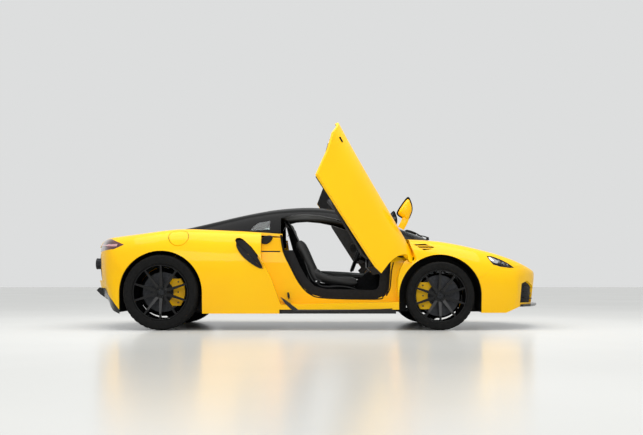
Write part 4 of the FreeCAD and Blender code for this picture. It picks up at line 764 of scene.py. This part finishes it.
@single(ABS)
def wipers(bm):
    """Two arms with their blades, on round spindles."""
    ground = ("windscreen", "scuttle")
    for root, tip in (((1128, 150), (900, -470)), ((1136, -230), (980, 420))):
        line = []
        for k in range(9):
            t = k / 8
            place = top_at(ground, *(a + (b - a) * t for a, b in zip(root, tip)))
            if place is not None:
                line.append(place + Vector((0, 0, 26 - 12 * t)))
        add_tube(bm, line, flat(16, 9, 2), (0, 0, 1))
        blade = [p + Vector((-14, 0, -8)) for p in line[3:]]
        add_tube(bm, blade, flat(9, 14, 2), (0, 0, 1))
        for spindle in draped(ground, (root,), 16):
            bmesh.ops.create_cone(bm, cap_ends=True, segments=20, radius1=17, radius2=13,
                                  depth=30, matrix=Matrix.Translation(spindle))


@single(ABS)
def cowl_louvres(bm):
    """Raised louvred panel ahead of the screen, bowed as the screen's foot is."""
    for k in range(7):
        spots = [(1192 + k * 17 - 0.00016 * y * y, y) for y in range(-420, 421, 60)]
        add_tube(bm, draped(("scuttle", "bonnet", "front_fenders"), spots, 3),
                 flat(9, 5, 1), (0.5, 0, 1))


# Lamps: housings behind the covers, projectors and light blades
LAMP = ("headlamps",)
LAMP_Y = -760

# A copy of each lamp, moved inwards and shrunk, backs it
housings = NODES["headlamps"].data.copy()
housings.materials.clear()
for side in (-1, 1):
    lamp = [v for v in housings.vertices if v.co.y * side > 0]
    middle = sum((v.co for v in lamp), Vector()) / len(lamp)
    for v in lamp:
        v.co = middle + (v.co - middle) * 0.97 + Vector((-26, -44 * side, -34)) * MM
crisp_piece("headlamp_housings", housings, BLACK, "car")


@pair(POLISHED)
def headlamp_projectors(bm):
    """Three stepped lenses in stepped bezels."""
    ahead = Vector((0.62, -0.66, 0.42)).normalized()
    turn = Vector((0, -1, 0)).rotation_difference(ahead).to_matrix().to_4x4()
    for x, z, radius in ((1756, 640, 22), (1796, 624, 19), (1832, 610, 16)):
        place = Matrix.Translation((x, surface_y(LAMP, x, z, LAMP_Y) + 34, z))
        add_spun(bm, [(-26, radius * 1.25), (2, radius * 1.25), (4, radius * 1.1), (-2, radius),
                      (2, radius * 0.9), (7, radius * 0.6), (9, radius * 0.3), (9.5, 0.01)], 28,
                 place @ turn)


@pair(POLISHED)
def headlamp_reflector(bm):
    """A bright bowl at the inner end of the lamp, right behind its cover's surface."""
    line = smooth_line([(1649, 693), (1697, 679), (1736, 655), (1726, 631), (1683, 640),
                        (1659, 664)], 4, True)
    edge = [surface_y(LAMP, x, z, LAMP_Y) for x, z in line]
    inner, outer = ([bm.verts.new((x, y + step, z)) for (x, z), y in zip(line, edge)]
                    for step in (2, -1.6))
    add_skin(bm, [inner, outer], capped=False)
    middle = bm.verts.new((1692, min(edge) + 4, 660))
    for here, after in zip(outer, outer[1:] + outer[:1]):
        bm.faces.new((here, after, middle))


@pair(POLISHED)
def daylight_blade(bm):
    """A thin light guide along the foot of the headlamp."""
    add_tube(bm, beside(("headlamps", "front_fenders", "front_bumper"), (
        (1634, 690), (1642, 664), (1668, 634), (1712, 612), (1766, 600), (1822, 596),
        (1872, 594)), -30), flat(7, 9, 2), (0, -1, 0.4), 4)


@pair(TAIL_LENS)
def tail_lamp_blade(bm):
    """A bright strip along the tail lamp."""
    add_tube(bm, beside(("rear_lamps", "rear_clamshell"), (
        (-2120, 820), (-2070, 812), (-2010, 806), (-1950, 804), (-1895, 803)), 1.2),
        flat(26, 3, 1), (0, -1, 0.5), 4)


# Mirrors on the open doors: a leaf-shaped yellow shell on a flat arm, glass in a black rim
LEAF_LINE = smooth_line(((874, 1247), (904, 1208), (916, 1142), (900, 1086), (878, 1048),
                         (856, 1040), (826, 1062), (792, 1084), (779, 1112), (814, 1174)), 6, True)
LEAF_MIDDLE = Vector((848, 1134))


def add_leaf(bm, levels, shift=(0, 0)):
    """Loft the leaf outline through (level, share) pairs and close both ends."""
    rings = []
    for y, share in levels:
        spots = [LEAF_MIDDLE + (p - LEAF_MIDDLE) * share + Vector(shift) for p in LEAF_LINE]
        rings.append([bm.verts.new((x, y, z)) for x, z in spots])
    add_skin(bm, rings)


@pair(YELLOW, DOORS)
def mirror_shell(bm):
    add_leaf(bm, [(-944, 0.12), (-942, 0.36), (-936, 0.60), (-924, 0.79), (-908, 0.89),
                  (-888, 0.95), (-878, 0.93)])


@pair(YELLOW, DOORS)
def mirror_arm(bm):
    foot = surface_y(("door_right",), 806, 972, -905)
    section = [(32 * math.copysign(abs(a) ** 0.8, a), 13 * b) for a, b in circle(1, 20)]
    add_tube(bm, [(858, -896, 1084), (848, -900, 1044), (832, (foot - 900) / 2, 1008),
                  (806, foot + 8, 962)], section, (0, -1, 0), 6)


@pair(BLACK, DOORS)
def mirror_rim(bm):
    add_leaf(bm, [(-888, 0.96), (-890, 1.07), (-884, 1.12), (-864, 1.09), (-860, 1.03),
                  (-866, 0.95)], (-3, 3))


@pair(SILVERED, DOORS)
def mirror_glass(bm):
    add_leaf(bm, [(-868, 0.94), (-863, 0.94), (-861, 0.90)], (-2, 4))


for side in ("right", "left"):
    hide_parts("mirror_" + side)


# Inner door panels: armrest, speaker and release
@pair(HIDE, DOORS, OPEN_DOOR)
def door_armrest(bm):
    section = [(-26, -14), (-30, 0), (-22, 16), (0, 22), (22, 16), (30, 0), (26, -14), (0, -20)]
    add_tube(bm, [(-170, -748, 520), (-20, -738, 545), (180, -732, 552), (380, -736, 560),
                  (520, -748, 590)], section, (0, 1, 0.6), 8)


@pair(HONEYCOMB, DOORS, OPEN_DOOR)
def door_speaker(bm):
    add_spun(bm, [(-6, 78), (2, 78), (5, 72), (2, 66), (3, 60), (6, 30), (7, 0.01)], 40,
             Matrix.Translation((470, -776, 410)) @ Matrix.Rotation(math.pi, 4, "Z"))


@pair(POLISHED, DOORS, OPEN_DOOR)
def door_release(bm):
    add_tube(bm, [(300, -748, 660), (360, -738, 668), (420, -748, 672)],
             flat(18, 9, 3), (0, 1, 0), 6)


# Seats: carbon buckets with padded hide, one soft pass for each kind of pad
SEAT_Y = 370.0
VOXEL = 6 * MM
SWELL_CAP = 12 * MM
CLOTH_FRAMES = 20
PAD_SIDES = 24
BOLSTER_OUT = 170


def tops_along(line):
    """The direction square to a line in the side plane at each of its points, with the share
    of the line that lies before the point."""
    last = len(line) - 1
    for i, point in enumerate(line):
        ahead = (line[min(i + 1, last)] - line[max(i - 1, 0)]).normalized()
        yield point, Vector((ahead.z, 0, -ahead.x)), i / last


def add_pad(bm, spine, widths, thickness, crown):
    """A closed pad along a line in the side plane, rounded at its ends and edges."""
    rings = []
    for point, top, t in tops_along(smooth_line([(x, 0, z) for x, z in spine], 6)):
        half = widths[0] + (widths[1] - widths[0]) * t
        edge = min(1.0, 0.55 + 3.2 * min(t, 1 - t))
        ring = []
        for a, b in circle(1, PAD_SIDES):
            side = math.copysign(abs(a) ** 0.55, a) * half * (0.94 + 0.06 * edge)
            rise = math.copysign(abs(b) ** 0.7, b) * thickness * 0.5 * edge
            rise += crown * (1 - a * a) * max(b, 0) * edge
            ring.append(bm.verts.new(point + Vector((0, side, 0)) + top * rise))
        rings.append(ring)
    add_skin(bm, rings)


def shaped(pad):
    """The pad's mesh as its modifiers leave it at this frame."""
    graph = bpy.context.evaluated_depsgraph_get()
    return bpy.data.meshes.new_from_object(pad.evaluated_get(graph))


def softened(mesh):
    """Blow the pad up a little as cloth, hold it near its start, and round it off once."""
    pad = bpy.data.objects.new("pad", mesh)
    bpy.context.scene.collection.objects.link(pad)
    bpy.context.view_layer.objects.active = pad
    remesh = pad.modifiers.new("remesh", "REMESH")
    remesh.mode = "VOXEL"
    remesh.voxel_size = VOXEL
    fine = shaped(pad)
    pad.modifiers.clear()
    pad.data = fine
    start = [v.co.copy() for v in fine.vertices]
    cloth = pad.modifiers.new("cloth", "CLOTH")
    cloth.settings.use_pressure = True
    cloth.settings.uniform_pressure_force = 4
    cloth.settings.effector_weights.gravity = 0
    cloth.settings.tension_stiffness = 20
    cloth.settings.bending_stiffness = 1.0
    for step in range(1, CLOTH_FRAMES + 1):
        bpy.context.scene.frame_set(step)
    swollen = shaped(pad)
    for v, old in zip(swollen.vertices, start):
        move = v.co - old
        if move.length > SWELL_CAP:
            v.co = old + move.normalized() * SWELL_CAP
    pad.modifiers.clear()
    bpy.context.scene.frame_set(1)
    pad.data = swollen
    smooth = pad.modifiers.new("round", "SUBSURF")
    smooth.levels = smooth.render_levels = 1
    final = shaped(pad)
    bpy.data.objects.remove(pad)
    return final


# Name, line in the side plane, half-widths at its ends, thickness, crown, material
PADS = (
    ("seat_cushion", ((392, 404), (290, 386), (150, 368), (30, 356)), (128, 122), 58, 10, SUEDE),
    ("seat_back", ((-58, 398), (-105, 500), (-150, 640), (-200, 790)), (118, 126), 52, 10, SUEDE),
    ("seat_headrest", ((-222, 850), (-245, 930), (-268, 1020)), (98, 84), 46, 12, SUEDE),
    ("seat_thigh_bolster", ((398, 446), (280, 456), (140, 474), (24, 512), (-34, 572)), (38, 40),
     96, 8, HIDE),
    ("seat_side_bolster", ((4, 470), (-58, 610), (-112, 730), (-176, 850)), (38, 42), 96, 8, HIDE),
)
for name, spine, widths, thickness, crown, material in PADS:
    raw = mesh_from(lambda bm: add_pad(bm, spine, widths, thickness, crown))
    raw.transform(TO_METRES)
    soft = softened(raw)
    ways = (("", 0),)
    if "bolster" in name:
        ways = (("_outer", -BOLSTER_OUT), ("_inner", BOLSTER_OUT))
    for side, seat_y in (("_right", -SEAT_Y), ("_left", SEAT_Y)):
        for way, shift in ways:
            mesh = soft.copy()
            mesh.transform(Matrix.Translation((0, (seat_y + shift) * MM, 0)))
            mesh.materials.clear()
            piece = new_piece(name + way + side, mesh, material, "car")
            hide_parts("seats")

SHELL_STEPS = 16
SHELL_HALF = 208


@pair(CARBON)
def seat_shell(bm):
    """The bucket: a curved shell behind the pads with wings at its sides."""
    line = smooth_line([(405, 0, 350), (300, 0, 345), (120, 0, 325), (-20, 0, 318),
                        (-92, 0, 372), (-150, 0, 520), (-205, 0, 700), (-250, 0, 860),
                        (-300, 0, 1030), (-318, 0, 1066)], 6)
    outer, inner = [], []
    for point, top, t in tops_along(line):
        half = SHELL_HALF if t < 0.72 else SHELL_HALF - (t - 0.72) / 0.28 * 86
        hip = 96 * math.exp(-((t - 0.38) / 0.09) ** 2)
        side = 84 if t < 0.75 else 84 - (t - 0.75) / 0.25 * 70
        wing = hip + side * min(1, 0.35 + 4 * min(t, 1 - t))
        shares = [-1 + 2 * k / SHELL_STEPS for k in range(SHELL_STEPS + 1)]
        spots = [point + Vector((0, half * s - SEAT_Y, 0))
                 + top * wing * max(0, (abs(s) - 0.45) / 0.55) ** 1.6 for s in shares]
        outer.append([bm.verts.new(spot - top * 9) for spot in spots])
        inner.append([bm.verts.new(spot) for spot in spots])
    for rings in (outer, inner, [outer[0], inner[0]], [outer[-1], inner[-1]],
                  [[ring[0] for ring in skin] for skin in (outer, inner)],
                  [[ring[-1] for ring in skin] for skin in (outer, inner)]):
        add_skin(bm, rings, closed=False, capped=False)


@pair(DARK_STEEL)
def seat_runners(bm):
    """Two floor runners and the plinth that joins them to the bucket."""
    for y in (-SEAT_Y - 150, -SEAT_Y + 150):
        add_tube(bm, [(380, y, 190), (-80, y, 190)], flat(34, 22, 4), (0, 0, 1))
        for x in (330, -30):
            add_tube(bm, [(x, y, 200), (x - 6, y, 330)], flat(26, 46, 4), (1, 0, 0))


@pair(HIDE)
def seat_piping(bm):
    """Raised welts along the seat's pads."""
    for y in (-SEAT_Y - 126, -SEAT_Y + 126):
        for up, spots in (((0, 0, 1), ((396, 426), (290, 410), (150, 392), (36, 380))),
                          ((1, 0, 0), ((-34, 410), (-80, 510), (-124, 650), (-174, 796)))):
            add_tube(bm, [(x, y, z) for x, z in spots], circle(3.2, 8), up, 5)


@pair(WEBBING)
def seat_belt(bm):
    """A flat belt from the pillar over the bucket's shoulder to the sill."""
    add_tube(bm, [(-318, -600, 960), (-290, -560, 1010), (-250, -500, 960), (-196, -470, 820),
                  (-120, -520, 600), (-60, -580, 430), (-40, -600, 330)],
             flat(46, 1.8, 0.5), (1, 0.5, 0.3), 8)


# Dashboard: instrument hood, upright screen and vents
@single(SOFT_TRIM)
def instrument_hood(bm):
    """An arched hood over a back plate."""
    add_tube(bm, [(586, 250, 800), (582, 300, 842), (580, 370, 856), (582, 440, 842),
                  (586, 490, 800)], flat(14, 56, 4), (1, 0, 0.15), 6)
    add_slab(bm, [(262, 790), (282, 826), (370, 842), (458, 826), (478, 790)], 560, 554, 1, "X")


@single(BLACK)
def instrument_glass(bm):
    add_slab(bm, [(270, 786), (286, 822), (370, 836), (454, 822), (470, 786)], 553, 550, 1, "X")


@single(BLACK)
def centre_screen(bm):
    add_slab(bm, [(-62, 600), (62, 600), (68, 608), (68, 788), (60, 796), (-60, 796), (-68, 788),
                  (-68, 608)], 534, 518, 4, "X")


@single(ABS)
def air_vents(bm):
    """Rounded outlet frames with horizontal vanes."""
    for y in (-560, -130, 130, 570):
        add_tube(bm, [(548, y - 44, 732), (548, y + 44, 732), (548, y + 44, 778),
                      (548, y - 44, 778)], flat(9, 12, 2), (1, 0, 0), 6, True)
        for z in (738, 749, 760, 771):
            add_tube(bm, [(552, y - 42, z), (552, y + 42, z)], flat(16, 2.5, 0.6),
                     (-0.3, 0, 1))


# Steering wheel pad and paddles, column stalks, pedals and console
WHEEL_CENTRE = Vector((439.5, 370.0, 735.0))
WHEEL_RAKE = math.radians(22)
WHEEL_AXIS = Vector((-math.cos(WHEEL_RAKE), 0, math.sin(WHEEL_RAKE)))
ON_WHEEL = (Matrix.Translation(WHEEL_CENTRE)
            @ Vector((0, 0, 1)).rotation_difference(WHEEL_AXIS).to_matrix().to_4x4())


@single(SUEDE, "steering_wheel", ON_WHEEL)
def steering_wheel_pad(bm):
    """A crowned boss with rounded corners, and thumb pads on the arms."""
    boss = [(-62, -40), (-66, 20), (-40, 52), (40, 52), (66, 20), (62, -40), (0, -62)]
    add_slab(bm, smooth_line(boss, 5, True), 0, 24, 9, "Z")
    for y in (-1, 1):
        plate = [(-16, y * 74), (16, y * 74), (12, y * 132), (-12, y * 132)]
        add_slab(bm, smooth_line(plate, 4, True), -8, 4, 3, "Z")


@single(CARBON, "steering_wheel", ON_WHEEL)
def shift_paddles(bm):
    for y in (-1, 1):
        outline = [(-34, y * 96), (40, y * 104), (52, y * 140), (-30, y * 136)]
        add_slab(bm, smooth_line(outline, 5, True), -44, -38, 2, "Z")


@single(ABS)
def column_stalks(bm):
    for y, tip_y in ((412, 560), (328, 186)):
        add_tube(bm, [(500, y, 722), (486, (y + tip_y) / 2, 734), (478, tip_y, 742)],
                 circle(7.5, 10, 0.8), (0, 0, 1), 6)


@single(BARE_STEEL)
def pedals(bm):
    for y, width in ((300, 30), (385, 48)):
        add_tube(bm, [(716, y, 420), (700, y, 330), (684, y, 268)], flat(12, 10, 2),
                 (1, 0, 0))
        add_slab(bm, [(y - width, 236), (y + width, 236), (y + width * 0.9, 306),
                      (y - width * 0.9, 306)], 688, 676, 3, "X")


@single(HIDE)
def console_pad(bm):
    """A padded rest along the tunnel, higher towards the seats."""
    add_tube(bm, [(-256, 0, 530), (-100, 0, 536), (100, 0, 534), (300, 0, 524), (460, 0, 512),
                  (600, 0, 504)], flat(176, 64, 20), (0, 0, 1), 6)


# Tail: diffuser fins, exhaust baffles and rolled edges, deck slats; then painted shade along the
# roof's seams
EXHAUST_YS = (-95, 95)


@single(CARBON)
def diffuser_fins(bm):
    for y in (-420, -210, 210, 420):
        add_slab(bm, [(-2190, 372), (-2150, 330), (-2050, 262), (-1900, 190), (-1880, 214),
                      (-1990, 300), (-2080, 384), (-2160, 400)], y - 5, y + 5, 2)


@single(DARK_STEEL)
def exhaust_baffles(bm):
    """A stepped cone inside each exhaust tip."""
    for y in EXHAUST_YS:
        add_spun(bm, [(60, 51.5), (66, 40), (66, 34), (20, 30), (20, 0.01)], 36,
                 Matrix.Translation((-2160, y, 640)) @ Matrix.Rotation(-math.pi / 2, 4, "Z"))


@single(DARK_STEEL)
def exhaust_rolled_edges(bm):
    for y in EXHAUST_YS:
        add_tube(bm, [(-2263, y + a, 640 + b) for a, b in circle(54, 12)],
                 circle(4.5, 8), (1, 0, 0), 4, True)


@single(ABS)
def deck_slats(bm):
    for k in range(11):
        spots = [(-1560 - k * 46, -430 + i * 61.4) for i in range(15)]
        add_tube(bm, draped(("rear_deck_grille",), spots, 4), flat(24, 5, 1.5),
                 (0.45, 0, 1))


@single(SEAL_RUBBER)
def roof_seam_shade(bm):
    # Dark rubber strips along the roof panel's seams: painted shade in the gaps
    for y in (-1, 1):
        spots = [(-480 + k * 50, y * (436 + k * 0.9)) for k in range(14)]
        add_tube(bm, draped(("roof_panel", "cabin_frame"), spots, 0.4), flat(7, 2, 0.5),
                 (0, 0, 1))


# Nose
@single(ABS)
def intake_vanes(bm):
    """Three bowed vanes across each corner intake."""
    for y in (-1, 1):
        for k in range(3):
            z = 292 + k * 52
            add_tube(bm, [(2130 - k * 10, y * 450, z), (2080 - k * 10, y * 590, z + 6),
                          (2000, y * 690, z + 14)], flat(26, 7, 2), (0, 0, 1), 6)


# Camera, as fitted to the photograph
PIXELS_WIDE = 643
FOCAL_PIXELS = 920.6
HORIZON_BELOW_MIDDLE = 63.5
SENSOR = 36.0
camera_data = bpy.data.cameras.new("camera")
camera_data.sensor_width = SENSOR
camera_data.lens = SENSOR * FOCAL_PIXELS / PIXELS_WIDE
camera = bpy.data.objects.new("camera", camera_data)
camera.location = (0.0525, -9.630, 0.463)
camera.rotation_euler = (math.pi / 2 + math.atan(HORIZON_BELOW_MIDDLE / FOCAL_PIXELS), 0, 0)
bpy.context.scene.collection.objects.link(camera)
bpy.context.scene.camera = camera

# Polished pale stone: even grey-white with a soft reflection of what stands on it
FLOOR_STONE = finish("polished_pale_stone", {"Roughness": 0.2, "Specular IOR Level": 0.25},
                     ("#E0E0DC", "#E6E6E2"), 2500)
FLOOR_REACH = 60.0


def build_floor(bm):
    """One large flat square."""
    bm.faces.new([bm.verts.new((x * FLOOR_REACH, y * FLOOR_REACH, 0))
                  for x, y in ((-1, -1), (1, -1), (1, 1), (-1, 1))])


floor_mesh = mesh_from(build_floor)
floor_mesh.materials.append(FLOOR_STONE)
floor = bpy.data.objects.new("floor", floor_mesh)
bpy.context.scene.collection.objects.link(floor)

# A pale room that lights the car more from above; what the camera and the car's reflections
# see is an even backdrop
world = bpy.data.worlds.new("pale_room")
bpy.context.scene.world = world
world.use_nodes = True
background = world.node_tree.nodes["Background"]
background.inputs["Color"].default_value = linear("#E4E5E5")
direction = add_node(world, "ShaderNodeTexCoord")
parts = add_node(world, "ShaderNodeSeparateXYZ", None, {0: direction.outputs["Generated"]})
rise = add_node(world, "ShaderNodeMapRange", {
    "From Min": 0.0, "From Max": 0.8, "To Min": 0.30, "To Max": 1.0}, {"Value": parts.outputs["Z"]})
world.node_tree.links.new(rise.outputs["Result"], background.inputs["Strength"])
backdrop = add_node(world, "ShaderNodeBackground", {"Color": linear("#DDDEDE"), "Strength": 1.0})
ray = add_node(world, "ShaderNodeLightPath")
seen = ray.outputs["Is Camera Ray"]
for kind in ("Is Glossy Ray", "Is Transmission Ray"):
    either = add_node(world, "ShaderNodeMath", {"operation": "MAXIMUM"},
                      {0: seen, 1: ray.outputs[kind]})
    seen = either.outputs[0]
chooser = add_node(world, "ShaderNodeMixShader", None,
                   {0: seen, 1: background.outputs[0], 2: backdrop.outputs[0]})
world.node_tree.links.new(chooser.outputs[0],
                          world.node_tree.nodes["World Output"].inputs["Surface"])


def add_softbox(name, place, target, width, depth, watts):
    """A large rectangular lamp aimed at a point."""
    lamp = bpy.data.lights.new(name, "AREA")
    lamp.shape = "RECTANGLE"
    lamp.size = width
    lamp.size_y = depth
    lamp.energy = watts
    light = bpy.data.objects.new(name, lamp)
    light.location = place
    aim = Vector(target) - Vector(place)
    light.rotation_euler = aim.to_track_quat("-Z", "Y").to_euler()
    bpy.context.scene.collection.objects.link(light)


add_softbox("ceiling_softbox", (0, -1.0, 4.6), (0, 0, 0.5), 7.0, 4.0, 250)
add_softbox("front_softbox", (0.5, -8.0, 3.4), (0, 0, 0.6), 7.0, 2.2, 150)

bpy.context.scene.view_settings.view_transform = "Standard"
